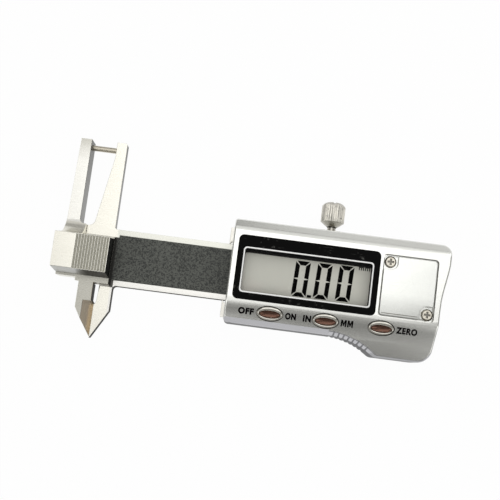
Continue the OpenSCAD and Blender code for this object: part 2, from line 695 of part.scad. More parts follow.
module lcd_holder() color([0.15, 0.15, 0.16]) at_display(lcd_y) difference() {
    box([-lcd_l / 2 - 1.1, lcd_l / 2 + 1.1], [-lcd_h / 2 - 1, lcd_h / 2 + 1], [board_z1, lcd_z1 - 0.8]);
    box([-lcd_l / 2 - seat_gap, lcd_l / 2 + seat_gap], [-lcd_h / 2 - seat_gap, lcd_h / 2 + seat_gap],
        [lcd_z1 - lcd_t, far]);
    box([1 - lcd_l / 2, lcd_l / 2 - 1], [0.6 - lcd_h / 2, lcd_h / 2 - 0.6], [0, far]);
}

module lcd_connectors() color([0.9, 0.6, 0.65]) at_display(lcd_y)
    for (s = [-1, 1])
        translate([0, s * (lcd_h / 2 - 0.7 - zebra_w / 2), 0])
            box([1.4 - lcd_l / 2, lcd_l / 2 - 1.4], [-zebra_w / 2, zebra_w / 2], [board_z1, lcd_z1 - lcd_t]);

module circuit_board() color([0.1, 0.38, 0.2]) difference() {
    union() {
        box([board_x0, board_x1], [board_y0, -board_y0], [frame_z1, board_z1]);
        box([cover_x0 + 2.1, cover_x1 - 4.3], [rail_low_y + post_d / 2 + 1.2, rail_top_y - post_d / 2 - 0.5],
            [frame_z1, board_z1]);
    }
    for (p = board_holes) post(p, small_d + 2 * seat_gap, 0, far);
}

module board_screws() color([0.75, 0.68, 0.45])
    for (p = board_holes) translate([p[0], p[1], board_z1])
        pan_screw(small_d, small_head_d - 0.2, 0.8, board_t + 1.8);

// Sealed drive chip on the board
module display_chip() color([0.06, 0.06, 0.07])
    translate([lcd_x, lcd_y, board_z1])
        rotate_extrude() polygon([[0, 0], [3, 0], [2.6, 0.6], [1.4, 1], [0, 1]]);

module button_pad() color([0.25, 0.25, 0.27]) difference() {
    union() {
        box([board_x0 + 0.1, board_x1 - 0.9], [board_y0 + 0.1, panel_y - 0.1], [board_z1, pad_z]);
        for (x = button_xs) translate([x, button_y, pad_z - eps])
            rotate_extrude()
                polygon([[0, 0], [1.9, 0], [1.4, key_z - pad_z + eps], [0, key_z - pad_z + eps]]);
    }
    for (p = board_holes) post(p, small_head_d + 0.2, 0, far);
}

// Oval button: stem to the rubber key, a flange under the panel and a dished top
module button(x) {
    top = cover_z + button_proud;
    translate([x, button_y, 0]) difference() {
        union() {
            intersection() {
                plate_at(key_z + 1, far, oval(button_l, button_h));
                translate([0, -button_y, 0]) section_prism([[-30, 0], [-30, panel_z(-30, top)],
                                                            [0, panel_z(0, top)], [0, 0]]);
            }
            intersection() {
                plate_at(key_z + 1.2, far, oval(button_l + 1.5, button_h + 0.6));
                translate([0, -button_y, 0]) section_prism([
                    [-30, panel_z(-30, face_in - 1)], [-30, panel_z(-30, face_in - 0.04)],
                    [0, panel_z(0, face_in - 0.04)], [0, panel_z(0, face_in - 1)]]);
            }
            post([0, 0], 2.6, key_z, key_z + 2);
        }
        translate([0, 0, panel_z(button_y, top)]) rotate([panel_a, 0, 0])
            translate([0, 0, -0.3]) linear_extrude(far) polygon(oval(button_l - 1.4, button_h - 1.3));
    }
}

module button_on_off() color([0.6, 0.55, 0.52]) button(button_xs[0]);
module button_inch_mm() color([0.6, 0.55, 0.52]) button(button_xs[1]);
module button_zero() color([0.6, 0.55, 0.52]) button(button_xs[2]);

// Two opposite corners are cut down to the seats of the screw heads
module battery_door() color([0.8, 0.8, 0.78]) difference() {
    spot_r = head_d / 2 + 0.3;
    plate_at(door_z0, door_z0 + door_t, [for (p = rounded(door_l, door_h, 0.95)) p + [door_x, door_y]]);
    for (i = [0, 1]) translate([door_screws[i][0], door_screws[i][1], 0]) rotate(180 * i) {
        post([0, 0], screw_d + 2 * seat_gap, 0, far);
        post([0, 0], 2 * spot_r, door_z0 + head_seat, far);
        box([-4, spot_r], [0, 4], [door_z0 + head_seat, far]);
        box([-4, 0], [-spot_r, 4], [door_z0 + head_seat, far]);
    }
}

// Height of the screw heads' seats in the battery door
head_seat = 0.5;

module battery_door_screws() color([0.8, 0.76, 0.68])
    for (p = door_screws) translate([p[0], p[1], door_z0 + head_seat]) pan_screw(screw_d, head_d, 0.8, 4.2);

module coin_cell() color([0.75, 0.75, 0.73])
    translate([door_x, door_y, cell_z]) rotate_extrude() polygon([
        [0, 0], [cell_d / 2 - 1, 0], [cell_d / 2 - 1, 0.3], [cell_d / 2, 0.6],
        [cell_d / 2, cell_h], [0, cell_h]]);

// Spring plate under the cell and the clip that touches its side
module battery_contacts() color([0.85, 0.75, 0.45]) {
    post([door_x, door_y], contact_d, board_z1, cell_z);
    clip_t = 0.3;
    translate([door_x + cell_d / 2, door_y, board_z1]) {
        box([0, clip_t], [-clip_w / 2, clip_w / 2], [0, cell_h * 0.65]);
        box([0, 1], [-clip_w / 2, clip_w / 2], [0, clip_t]);
    }
}

beam();
scale_board();
scale_cover();
moving_jaw();
measuring_pin();
connecting_bar();
jaw_screws();
bar_screws();
slider_frame();
back_plate();
back_plate_screws();
gib_strip();
gib_screws();
lock_screw();
housing_cover();
cover_screws();
display_bezel();
display_trim();
display_window();
lcd_panel();
lcd_holder();
lcd_connectors();
circuit_board();
board_screws();
display_chip();
button_pad();
button_on_off();
button_inch_mm();
button_zero();
battery_door();
battery_door_screws();
coin_cell();
battery_contacts();
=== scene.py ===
import math

import bmesh
import bpy
from mathutils import Matrix, Vector


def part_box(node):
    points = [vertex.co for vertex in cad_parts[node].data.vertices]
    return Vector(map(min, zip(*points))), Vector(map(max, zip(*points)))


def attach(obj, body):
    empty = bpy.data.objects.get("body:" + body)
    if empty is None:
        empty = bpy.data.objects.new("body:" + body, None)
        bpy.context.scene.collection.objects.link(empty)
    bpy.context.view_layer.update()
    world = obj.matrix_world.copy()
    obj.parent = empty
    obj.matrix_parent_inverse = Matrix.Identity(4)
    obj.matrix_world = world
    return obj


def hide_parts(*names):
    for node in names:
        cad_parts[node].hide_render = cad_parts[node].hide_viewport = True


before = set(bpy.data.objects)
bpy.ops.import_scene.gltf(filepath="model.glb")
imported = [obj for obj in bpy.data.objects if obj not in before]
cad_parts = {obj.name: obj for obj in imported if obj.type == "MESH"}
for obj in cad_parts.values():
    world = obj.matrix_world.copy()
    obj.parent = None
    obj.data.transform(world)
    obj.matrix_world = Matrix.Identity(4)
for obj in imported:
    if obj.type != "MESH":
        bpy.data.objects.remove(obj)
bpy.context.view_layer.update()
mm = 0.001


# Shader maths: a wire is a socket that can stand in a sum, a paint is a material in the making
class Wire:
    def __init__(self, paint, socket):
        self.paint = paint
        self.socket = socket

    def reckon(self, operation, first, second):
        return self.paint.add("ShaderNodeMath", {"operation": operation}, {0: first, 1: second})

    def __add__(self, other):
        return self.reckon("ADD", self, other)

    def __radd__(self, other):
        return self.reckon("ADD", other, self)

    def __sub__(self, other):
        return self.reckon("SUBTRACT", self, other)

    def __rsub__(self, other):
        return self.reckon("SUBTRACT", other, self)

    def __mul__(self, other):
        return self.reckon("MULTIPLY", self, other)

    def __rmul__(self, other):
        return self.reckon("MULTIPLY", other, self)


class Paint:
    def __init__(self, name):
        self.material = bpy.data.materials.new(name)
        self.material.use_nodes = True
        self.tree = self.material.node_tree
        self.shader = self.tree.nodes["Principled BSDF"]

    def add(self, kind, settings=None, sockets=None, out=0):
        node = self.tree.nodes.new(kind)
        for key, value in (settings or {}).items():
            setattr(node, key, value)
        for key, value in (sockets or {}).items():
            self.feed(node, key, value)
        return Wire(self, node.outputs[out])

    def feed(self, node, key, value):
        if isinstance(value, Wire):
            self.tree.links.new(value.socket, node.inputs[key])
        else:
            node.inputs[key].default_value = value

    def place(self, stretch=(1, 1, 1), turn=(0, 0, 0)):
        spot = self.add("ShaderNodeTexCoord", out=3)
        return self.add("ShaderNodeMapping", None, {"Vector": spot, "Scale": stretch, "Rotation": turn})

    def noise(self, scale, stretch=(1, 1, 1), detail=2.0, turn=(0, 0, 0)):
        where = self.place(stretch, turn)
        return self.add("ShaderNodeTexNoise", None, {"Vector": where, "Scale": scale, "Detail": detail})

    def cells(self, scale, stretch=(1, 1, 1)):
        where = self.place(stretch)
        return self.add("ShaderNodeTexVoronoi", None, {"Vector": where, "Scale": scale})

    def spread(self, value, low, high, toLow=0.0, toHigh=1.0):
        numbers = {"From Min": low, "From Max": high, "To Min": toLow, "To Max": toHigh, "Value": value}
        return self.add("ShaderNodeMapRange", None, numbers)

    # noise lies mostly between 0.3 and 0.7
    def even(self, noise, toLow=0.0, toHigh=1.0):
        return self.spread(noise, 0.3, 0.7, toLow, toHigh)

    def blend(self, mask, first, second):
        return self.add("ShaderNodeMix", {"data_type": "RGBA"}, {0: mask, 6: first, 7: second}, out=2)

    def bump(self, height, strength, depth):
        sockets = {"Height": height, "Strength": strength, "Distance": depth}
        self.set(Normal=self.add("ShaderNodeBump", None, sockets))

    def set(self, **sockets):
        for key, value in sockets.items():
            self.feed(self.shader, key.replace("_", " "), value)


def rgb(red, green, blue):
    return (red, green, blue, 1.0)


def darker(tint, share):
    return rgb(*[share * part for part in tint])


# what the worn streaks keep of a steel's tint
steelWear = 0.86


# Brushed and ground steel: long fine streaks along the beam
def groundSteel(name, tint, rough, streak=(1, 30, 30), depth=0.004, metallic=1.0, edge=1.0):
    paint = Paint(name)
    lines = paint.noise(260, streak, 3.0)
    cloud = paint.noise(90, (1, 1, 1), 2.0)
    wear = paint.even(lines * 0.75 + cloud * 0.25)
    paint.set(Base_Color=paint.blend(wear, darker(tint, steelWear), rgb(*tint)), Metallic=metallic)
    paint.set(Specular_Tint=rgb(edge, edge, edge))
    paint.set(Roughness=paint.even(lines, rough - 0.05, rough + 0.07))
    paint.bump(lines, 0.5, depth * mm)
    return paint.material


# Satin silver paint; bands across the face, in millimetres, can be darker or brighter, as painted shade and
# painted highlight standing in for the room's reflections
def satinSilver(name, tint, rough, wearAndShade=(), edge=1.0):
    paint = Paint(name)
    flake = paint.cells(9000)
    cloud = paint.noise(60, (1, 1, 1), 3.0)
    up = paint.add("ShaderNodeSeparateXYZ", None, {0: paint.place()}, 1)
    shade = paint.spread(flake, 0.1, 0.6, 0.92, 1.0) * paint.spread(cloud, 0.35, 0.65, 0.97, 1.0)
    for low, high, toLow, toHigh in wearAndShade:
        shade = shade * paint.spread(up, low * mm, high * mm, toLow, toHigh)
    bright = paint.add("ShaderNodeVectorMath", {"operation": "SCALE"}, {0: tint, "Scale": shade})
    paint.set(Base_Color=bright, Metallic=0.94)
    paint.set(Roughness=paint.spread(flake, 0.1, 0.7, rough - 0.03, rough + 0.04))
    paint.set(Coat_Roughness=0.25)
    paint.set(Coat_Weight=0.12 * edge)
    paint.set(Specular_Tint=rgb(edge, edge, edge))
    paint.bump(flake, 0.25, 0.004 * mm)
    return paint.material


def mouldedPlastic(name, tint, rough, grain, depth, metallic=0.0, shine=0.5):
    paint = Paint(name)
    fine = paint.noise(grain, (1, 1, 1), 3.0)
    cloud = paint.noise(140, (1, 1, 1), 2.0)
    wear = paint.spread(cloud * 0.5 + fine * 0.5, 0.35, 0.65)
    paint.set(Base_Color=paint.blend(wear, darker(tint, 0.8), rgb(*tint)))
    paint.set(Roughness=paint.even(fine, rough - 0.06, rough + 0.06), Metallic=metallic)
    paint.set(Specular_IOR_Level=shine)
    paint.bump(fine, 0.4, depth * mm)
    return paint.material


# The printed strip: near black with a fine light speckle
def scalePrint():
    look = {"ground": (0.006, 0.008, 0.005), "speck": (0.10, 0.106, 0.092), "grain": 2200,
            "speckFrom": 0.48, "speckTo": 0.61}
    paint = Paint("scalePrint")
    fine = paint.noise(look["grain"], (1, 1, 1), 4.0)
    cells = paint.cells(look["grain"] * 1.6)
    cloud = paint.noise(150, (1, 1, 1), 2.0)
    mask = paint.spread(fine * 0.7 + cells * 0.3 + cloud * 0.1, look["speckFrom"], look["speckTo"])
    paint.set(Base_Color=paint.blend(mask, rgb(*look["ground"]), rgb(*look["speck"])))
    paint.set(Roughness=paint.even(fine, 0.42, 0.6))
    paint.bump(fine, 0.35, 0.012 * mm)
    return paint.material


def knurledNickel():
    look = {"tint": (0.97, 0.94, 0.86), "wearAndShade": 0.52, "pit": (0.13, 0.12, 0.10), "pits": 1500, "rough": 0.5}
    paint = Paint("knurledNickel")
    pits = paint.spread(paint.cells(look["pits"], (1, 0.6, 1)), 0.12, 0.3)
    lines = paint.noise(900, (1, 0.25, 1), 3.0)
    wear = paint.spread(lines, 0.36, 0.62)
    cover = paint.blend(wear, darker(look["tint"], look["wearAndShade"]), rgb(*look["tint"]))
    patch = paint.spread(paint.noise(420, (1, 1, 1), 2.0), 0.5, 0.62)
    mask = 1 - patch * (1 - pits)
    paint.set(Base_Color=paint.blend(mask, rgb(*look["pit"]), cover), Metallic=1.0)
    paint.set(Roughness=paint.even(lines, look["rough"] - 0.06, look["rough"] + 0.1))
    paint.bump(lines + mask, 0.5, 0.03 * mm)
    return paint.material


# Clear window: a thin pane that keeps its gloss and lets the panel show
def clearWindow():
    paint = Paint("clearWindow")
    dust = paint.spread(paint.noise(700, (1, 1, 1), 4.0), 0.66, 0.74)
    paint.set(Base_Color=rgb(0.4, 0.41, 0.41), Roughness=0.05, IOR=1.46, Specular_IOR_Level=0.06)
    paint.set(Alpha=paint.spread(dust, 0.0, 1.0, 0.002, 0.02))
    return paint.material


def liquidCrystal():
    look = {"ground": (0.60, 0.60, 0.535), "warm": (0.68, 0.61, 0.55)}
    paint = Paint("liquidCrystal")
    cloud = paint.noise(70, (1, 1, 1), 2.0)
    fine = paint.noise(3000, (1, 1, 1), 2.0)
    mask = paint.spread(cloud, 0.5, 0.75) * 0.5
    ground = paint.blend(mask, rgb(*look["ground"]), rgb(*look["warm"]))
    paint.set(Base_Color=ground, Roughness=paint.even(fine, 0.4, 0.5))
    paint.bump(fine, 0.2, 0.003 * mm)
    return paint.material


def solderMask():
    paint = Paint("solderMask")
    bricks = {"Vector": paint.place(), "Scale": 300, "Mortar Size": 0.06}
    tracks = paint.add("ShaderNodeTexBrick", None, bricks)
    fine = paint.noise(1500, (1, 1, 1), 2.0)
    tone = paint.blend(paint.even(fine), rgb(0.008, 0.10, 0.035), rgb(0.02, 0.17, 0.06))
    mask = paint.add("ShaderNodeSeparateColor", None, {0: tracks})
    paint.set(Base_Color=paint.blend(mask * 0.35, tone, rgb(0.05, 0.28, 0.10)))
    paint.set(Roughness=paint.even(fine, 0.3, 0.42))
    paint.bump(fine, 0.3, 0.01 * mm)
    return paint.material


# Ground steel that changes from one tint to another along an axis, in millimetres
def gradedSteel(name, look):
    paint = Paint(name)
    along = paint.add("ShaderNodeSeparateXYZ", None, {0: paint.place()}, look["axis"])
    lines = paint.noise(260, look["streak"], 3.0)
    cloud = paint.noise(420, (1, 1, 1), 2.0)
    mask = paint.spread(along + (cloud - 0.5) * 0.002, look["from"] * mm, look["to"] * mm)
    dark = paint.blend(mask, darker(look["first"], steelWear), darker(look["last"], steelWear))
    pale = paint.blend(mask, rgb(*look["first"]), rgb(*look["last"]))
    paint.set(Base_Color=paint.blend(paint.even(lines), dark, pale), Metallic=1.0)
    paint.set(Roughness=paint.even(lines, look["rough"] - 0.05, look["rough"] + 0.07))
    paint.set(Specular_Tint=rgb(look["edge"], look["edge"], look["edge"]))
    paint.bump(lines, 0.5, 0.004 * mm)
    return paint.material


gradedLooks = {
    # painted reflection: the block's lower face runs from light steel to nearly black, for the dark parts
    # it mirrors
    "footSteel": {"axis": 0, "from": -71.9, "to": -68.9, "first": (0.66, 0.66, 0.63),
                  "last": (0.04, 0.036, 0.03), "rough": 0.35, "streak": (1, 30, 30), "edge": 0.7},
    "borderSteel": {"axis": 1, "from": -7.5, "to": 7.5, "first": (0.80, 0.79, 0.755),
                    "last": (0.70, 0.70, 0.64), "rough": 0.3, "streak": (1, 30, 30), "edge": 1.0},
    # painted reflection: the arm's top darkens towards its tip
    "armSteel": {"axis": 1, "from": 26.5, "to": 32.0, "first": (0.88, 0.87, 0.82),
                 "last": (0.60, 0.59, 0.535), "rough": 0.3, "streak": (1, 30, 30), "edge": 1.0},
    # painted shade: the arms' side walls, darker towards their tips
    "wallSteel": {"axis": 1, "from": 14.0, "to": 31.0, "first": (0.34, 0.34, 0.325),
                  "last": (0.22, 0.22, 0.21), "rough": 0.4, "streak": (6, 6, 30), "edge": 0.85},
}


# Display frame: gloss black with a little dust and a few hairlines
def dustyGloss():
    look = {"ground": (0.002, 0.002, 0.002), "dust": (0.13, 0.13, 0.12), "rough": 0.16}
    paint = Paint("glossBlack")
    specks = paint.spread(paint.noise(900, (1, 1, 1), 5.0), 0.6, 0.74)
    patch = paint.spread(paint.noise(120, (1, 1, 1), 2.0), 0.46, 0.62)
    hairs = paint.spread(paint.noise(300, (1, 14, 1), 4.0, (0, 0, 0.5)), 0.68, 0.72)
    mask = specks * patch * 0.8 + hairs * patch * 0.5
    paint.set(Base_Color=paint.blend(mask, rgb(*look["ground"]), rgb(*look["dust"])))
    paint.set(Roughness=paint.spread(mask, 0.0, 1.0, look["rough"], 0.4), Specular_IOR_Level=0.03)
    paint.bump(mask, 0.2, 0.003 * mm)
    return paint.material


# painted shade and painted highlight: bands across the face and the door, in millimetres, that darken or
# brighten the silver where the room's reflections fall dark or light
paintedShadeBands = {
    "face": ((-10.4, -8.9, 0.66, 1.0), (-14.0, -11.2, 1.24, 1.0), (-18.0, -14.5, 0.84, 1.0)),
    "door": ((-7.6, -1.0, 0.72, 1.0),),
}
# tint, roughness, stretch of the streaks, depth, metal, brightness at a grazing angle
steelLooks = {
    "jawSteel": ((0.86, 0.84, 0.76), 0.3),
    # bladeSteel to shadeSteel are darker copies of the steel, painted shade for faces in shade;
    # bevelSteel's brown is a painted reflection
    "bladeSteel": ((0.49, 0.48, 0.43), 0.3),
    "bevelSteel": ((0.86, 0.75, 0.60), 0.32, (6, 30, 30)),
    "rimSteel": ((0.10, 0.098, 0.09), 0.4, (6, 6, 30), 0.004, 1.0, 0.4),
    "grooveSteel": ((0.37, 0.37, 0.335), 0.35, (30, 2, 2)),
    "recessSteel": ((0.26, 0.25, 0.22), 0.4, (6, 6, 6)),
    "slideSteel": ((0.38, 0.37, 0.34), 0.34),
    "neckSteel": ((0.52, 0.50, 0.45), 0.3, (6, 6, 6)),
    "shadeSteel": ((0.06, 0.059, 0.055), 0.13, (6, 6, 6), 0.001, 1.0, 0.5),
    "pinSteel": ((0.55, 0.51, 0.42), 0.25, (0.5, 6, 6), 0.0005),
    "plateSteel": ((0.78, 0.77, 0.74), 0.32),
    "screwSteel": ((0.70, 0.665, 0.575), 0.26, (2, 2, 12)),
    "frameSteel": ((0.90, 0.88, 0.82), 0.36, (6, 6, 6)),
    "gibBrass": ((0.78, 0.56, 0.24), 0.3),
    "contactBronze": ((0.82, 0.62, 0.32), 0.28),
    "cellSteel": ((0.80, 0.80, 0.77), 0.22, (3, 3, 3)),
    "buttonChrome": ((0.70, 0.68, 0.62), 0.14, (4, 4, 4), 0.001),
    # the dish's brown is a painted reflection of what it mirrors
    "buttonDish": ((0.15, 0.078, 0.056), 0.24, (3, 3, 3), 0.003, 0.9),
}
# tint, roughness, painted shade bands, brightness at a grazing angle
silverLooks = {
    "satinSilver": ((0.82, 0.825, 0.79), 0.21, paintedShadeBands["face"]),
    # edgeSilver, kneeSilver and rimSilver are darker copies of the satin silver, painted shade for the
    # front bevel, the knee, the rims and the rib hollows
    "edgeSilver": ((0.53, 0.53, 0.55), 0.3),
    "kneeSilver": ((0.38, 0.38, 0.39), 0.3),
    "rimSilver": ((0.28, 0.28, 0.29), 0.34, (), 0.3),
    "doorSilver": ((0.80, 0.81, 0.775), 0.24, paintedShadeBands["door"]),
    "trimSilver": ((0.66, 0.66, 0.655), 0.3),
}
# tint, roughness, grain, depth, metal, shine
plasticLooks = {
    "grubBlack": ((0.03, 0.03, 0.033), 0.4, 1800, 0.01, 0.7),
    "inkBlack": ((0.001, 0.001, 0.001), 0.5, 5000, 0.003, 0.0, 0.01),
    "holderBlack": ((0.008, 0.008, 0.008), 0.55, 2500, 0.01, 0.0, 0.1),
    "chipBlack": ((0.012, 0.012, 0.013), 0.2, 700, 0.02),
    "padRubber": ((0.05, 0.05, 0.055), 0.7, 1800, 0.02),
    "zebraPink": ((0.75, 0.4, 0.46), 0.6, 1200, 0.02),
    "boardEpoxy": ((0.45, 0.36, 0.16), 0.45, 1400, 0.01),
}
finishes = {
    "glossBlack": dustyGloss(),
    "scalePrint": scalePrint(),
    "knurledNickel": knurledNickel(),
    "clearWindow": clearWindow(),
    "liquidCrystal": liquidCrystal(),
    "solderMask": solderMask(),
}
for finishName, look in steelLooks.items():
    finishes[finishName] = groundSteel(finishName, *look)
for finishName, look in silverLooks.items():
    finishes[finishName] = satinSilver(finishName, *look)
for finishName, look in plasticLooks.items():
    finishes[finishName] = mouldedPlastic(finishName, *look)
for finishName, look in gradedLooks.items():
    finishes[finishName] = gradedSteel(finishName, look)
print("finishes mixed:", len(finishes))

# CAD nodes whose shape is right as it is
dressedNodes = {
    "scale_board": "boardEpoxy", "scale_cover": "scalePrint", "gib_strip": "gibBrass",
    "gib_screws": "grubBlack", "jaw_screws": "screwSteel", "bar_screws": "screwSteel",
    "connecting_bar": "plateSteel", "back_plate_screws": "screwSteel", "cover_screws": "screwSteel",
    "display_window": "clearWindow", "lcd_panel": "liquidCrystal", "lcd_holder": "holderBlack",
    "lcd_connectors": "zebraPink", "circuit_board": "solderMask", "board_screws": "contactBronze",
    "display_chip": "chipBlack", "button_pad": "padRubber", "coin_cell": "cellSteel",
    "battery_contacts": "contactBronze",
}
for nodeName, finishName in dressedNodes.items():
    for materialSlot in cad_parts[nodeName].material_slots:
        materialSlot.material = finishes[finishName]
print("CAD nodes dressed:", len(dressedNodes))


# Modelling helpers
def pickAlone(piece):
    if bpy.context.object and bpy.context.object.mode == "EDIT":
        bpy.ops.object.mode_set(mode="OBJECT")
    bpy.ops.object.select_all(action="DESELECT")
    piece.select_set(True)
    bpy.context.view_layer.objects.active = piece


def openShape(piece, mode="EDGE"):
    pickAlone(piece)
    bpy.ops.object.mode_set(mode="EDIT")
    bpy.ops.mesh.select_mode(type=mode)
    bpy.ops.mesh.select_all(action="DESELECT")
    shape = bmesh.from_edit_mesh(piece.data)
    shape.normal_update()
    return shape


def closeShape(piece):
    bmesh.update_edit_mesh(piece.data)
    bpy.ops.object.mode_set(mode="OBJECT")


# These three work on the whole of the open shape
def mergeShape(gap):
    bpy.ops.mesh.select_all(action="SELECT")
    bpy.ops.mesh.remove_doubles(threshold=gap * mm)


def sliceShape(place, normal, **options):
    bpy.ops.mesh.select_all(action="SELECT")
    bpy.ops.mesh.bisect(plane_co=[part * mm for part in place], plane_no=normal, **options)


def turnOutward():
    bpy.ops.mesh.select_all(action="SELECT")
    bpy.ops.mesh.normals_make_consistent(inside=False)


def dropPlace(piece):
    pickAlone(piece)
    bpy.ops.object.transform_apply(location=True, rotation=True, scale=True)


# Smooth shading in which the large flat faces keep their own normals
def smoothByAngle(piece, degrees=32):
    pickAlone(piece)
    bpy.ops.object.shade_smooth_by_angle(angle=math.radians(degrees))
    steady = piece.modifiers.new("steadyFaces", "WEIGHTED_NORMAL")
    steady.weight = 100
    steady.keep_sharp = True
    bpy.ops.object.modifier_apply(modifier=steady.name)


def cutWith(piece, tool, operation="DIFFERENCE"):
    pickAlone(piece)
    cut = piece.modifiers.new("cut", "BOOLEAN")
    cut.operation = operation
    cut.solver = "EXACT"
    cut.object = tool
    bpy.ops.object.modifier_apply(modifier=cut.name)
    bpy.data.objects.remove(tool, do_unlink=True)


def joinPieces(label, pieces):
    pickAlone(pieces[0])
    for piece in pieces:
        piece.select_set(True)
    bpy.ops.object.join()
    pieces[0].name = label
    return pieces[0]


def copyPiece(piece, label, shift):
    twin = piece.copy()
    twin.data = piece.data.copy()
    twin.name = label
    twin.data.transform(Matrix.Translation(Vector(shift) * mm))
    bpy.context.scene.collection.objects.link(twin)
    return twin


# Gives a second finish to the faces that pass the test
def paintFaces(piece, finishName, test):
    piece.data.materials.append(finishes[finishName])
    number = len(piece.data.materials) - 1
    for face in piece.data.polygons:
        if test(face.center / mm, face.normal):
            face.material_index = number


# A flat plate: a circle's corners are moved to the outline, which is then extruded
def outlinePlate(label, corners, low, high):
    bpy.ops.object.select_all(action="DESELECT")
    bpy.ops.mesh.primitive_circle_add(vertices=len(corners), radius=1, fill_type="NGON")
    piece = bpy.context.object
    piece.name = label
    shape = openShape(piece, "FACE")
    shape.verts.ensure_lookup_table()
    for vert, corner in zip(shape.verts, corners):
        vert.co = Vector((corner[0], corner[1], low)) * mm
    bpy.ops.mesh.select_all(action="SELECT")
    bpy.ops.mesh.extrude_region_move(TRANSFORM_OT_translate={"value": (0, 0, (high - low) * mm)})
    turnOutward()
    closeShape(piece)
    return piece


def squareCorners(left, right, low, high):
    return ((left, low), (right, low), (right, high), (left, high))


def roundedCorners(left, right, low, high, radius, steps=6):
    points = []
    centres = ((right, high, 0), (left, high, 90), (left, low, 180), (right, low, 270))
    for x, y, start in centres:
        cx = x - radius if x == right else x + radius
        cy = y - radius if y == high else y + radius
        for i in range(steps + 1):
            turn = math.radians(start + 90 * i / steps)
            points.append((cx + radius * math.cos(turn), cy + radius * math.sin(turn)))
    return points


def settle(piece, body, finishName, slotName, *nodes):
    piece.data.materials.clear()
    piece.data.materials.append(finishes[finishName])
    if nodes:
        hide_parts(*nodes)
    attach(piece, body)


# A solid's mesh with its points merged and, unless told otherwise, its flat faces whole again
def mergedCopy(nodeName, label, gap=0.001, whole=True):
    piece = bpy.data.objects.new(label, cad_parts[nodeName].data.copy())
    bpy.context.scene.collection.objects.link(piece)
    openShape(piece)
    mergeShape(gap)
    if whole:
        bpy.ops.mesh.dissolve_limited(angle_limit=math.radians(0.5))
    bpy.ops.object.mode_set(mode="OBJECT")
    bpy.ops.mesh.customdata_custom_splitnormals_clear()
    return piece


# Rounds the outer edges that turn by more than the least angle
def bevelEdges(piece, width, rounds, least=30):
    shape = openShape(piece)
    for edge in shape.edges:
        if len(edge.link_faces) == 2 and math.degrees(edge.calc_face_angle_signed(0)) > least:
            edge.select = True
    bpy.ops.mesh.select_mode(type="EDGE")
    bpy.ops.mesh.bevel(offset=width * mm, segments=rounds, profile=0.5, affect="EDGES", clamp_overlap=False)
    bpy.ops.object.mode_set(mode="OBJECT")


def softenedCopy(nodeName, label, width, rounds=2, least=30):
    piece = mergedCopy(nodeName, label)
    bevelEdges(piece, width, rounds, least)
    smoothByAngle(piece)
    return piece


# Jaws, pin and beam
jawLook = {
    "edge": 0.09, "frameEdge": 0.14, "plateEdge": 0.2, "pinEdge": 0.05,
    "borderX": -62.6, "shadeX": -63.2, "blockX": -63.02, "blockSetX": -63.1,
    "slideTop": (2.4, 4.7), "borderTop": (4.6, 5.2), "armTop": (6, 6.5),
    "reliefFloor": 3.7, "reliefTop": 8,
    "relief": ((-66.7, -7.95), (-65.3, -7.95), (-65.42, -8.5), (-65.6, -9.3), (-65.76, -10.6),
               (-65.88, -12.5), (-65.97, -13.15), (-66.12, -13.48), (-66.36, -13.66), (-66.7, -13.7)),
}


# True on the flat top of a level of the jaws
def onTop(spot, face, level):
    low, high = jawLook[level]
    return face.z > 0.9 and low < spot.z < high


beam = mergedCopy("beam", "beamAndFixedJaw")
# painted shade: the relief between the blades is cut only down to reliefFloor, and its floor, given
# slideSteel below, stands in for the shade in the slot
cutWith(beam, outlinePlate("reliefTool", jawLook["relief"], jawLook["reliefFloor"], jawLook["reliefTop"]))
openShape(beam)
for cutX in (jawLook["shadeX"], jawLook["borderX"]):
    sliceShape((cutX, 0, 0), (1, 0, 0))
closeShape(beam)
bevelEdges(beam, jawLook["edge"], 2)
smoothByAngle(beam)
settle(beam, "beam", "jawSteel", "jaw_steel", "beam")
# painted shade and painted reflection: recesses and walls that lie in shade or mirror something dark get
# darker colours, here and on the other pieces
paintFaces(beam, "shadeSteel", lambda spot, face: jawLook["shadeX"] < spot.x < -61.9 and 3.5 < spot.z < 4.7)
paintFaces(beam, "slideSteel", lambda spot, face: -71 < spot.x < jawLook["shadeX"]
           and onTop(spot, face, "slideTop"))
paintFaces(beam, "borderSteel", lambda spot, face: spot.x > jawLook["borderX"]
           and onTop(spot, face, "borderTop"))
paintFaces(beam, "rimSteel", lambda spot, face: spot.x < -60 and face.x > 0.3 and abs(face.z) < 0.4)
paintFaces(beam, "wallSteel", lambda spot, face: spot.y > 8 and face.x > 0.3 and abs(face.z) < 0.4)
paintFaces(beam, "rimSteel", lambda spot, face: spot.x > -62.4 and face.y < -0.3 and spot.y < -6)
movingJaw = mergedCopy("moving_jaw", "movingJawBody")
# the block's right side is set back a hair from the beam's step
for vert in movingJaw.data.vertices:
    if vert.co.x > jawLook["blockX"] * mm:
        vert.co.x = jawLook["blockSetX"] * mm
openShape(movingJaw)
mergeShape(0.001)
bpy.ops.mesh.dissolve_limited(angle_limit=math.radians(0.5))
closeShape(movingJaw)
bevelEdges(movingJaw, jawLook["edge"], 1)
smoothByAngle(movingJaw)
settle(movingJaw, "carriage", "jawSteel", "jaw_steel", "moving_jaw")
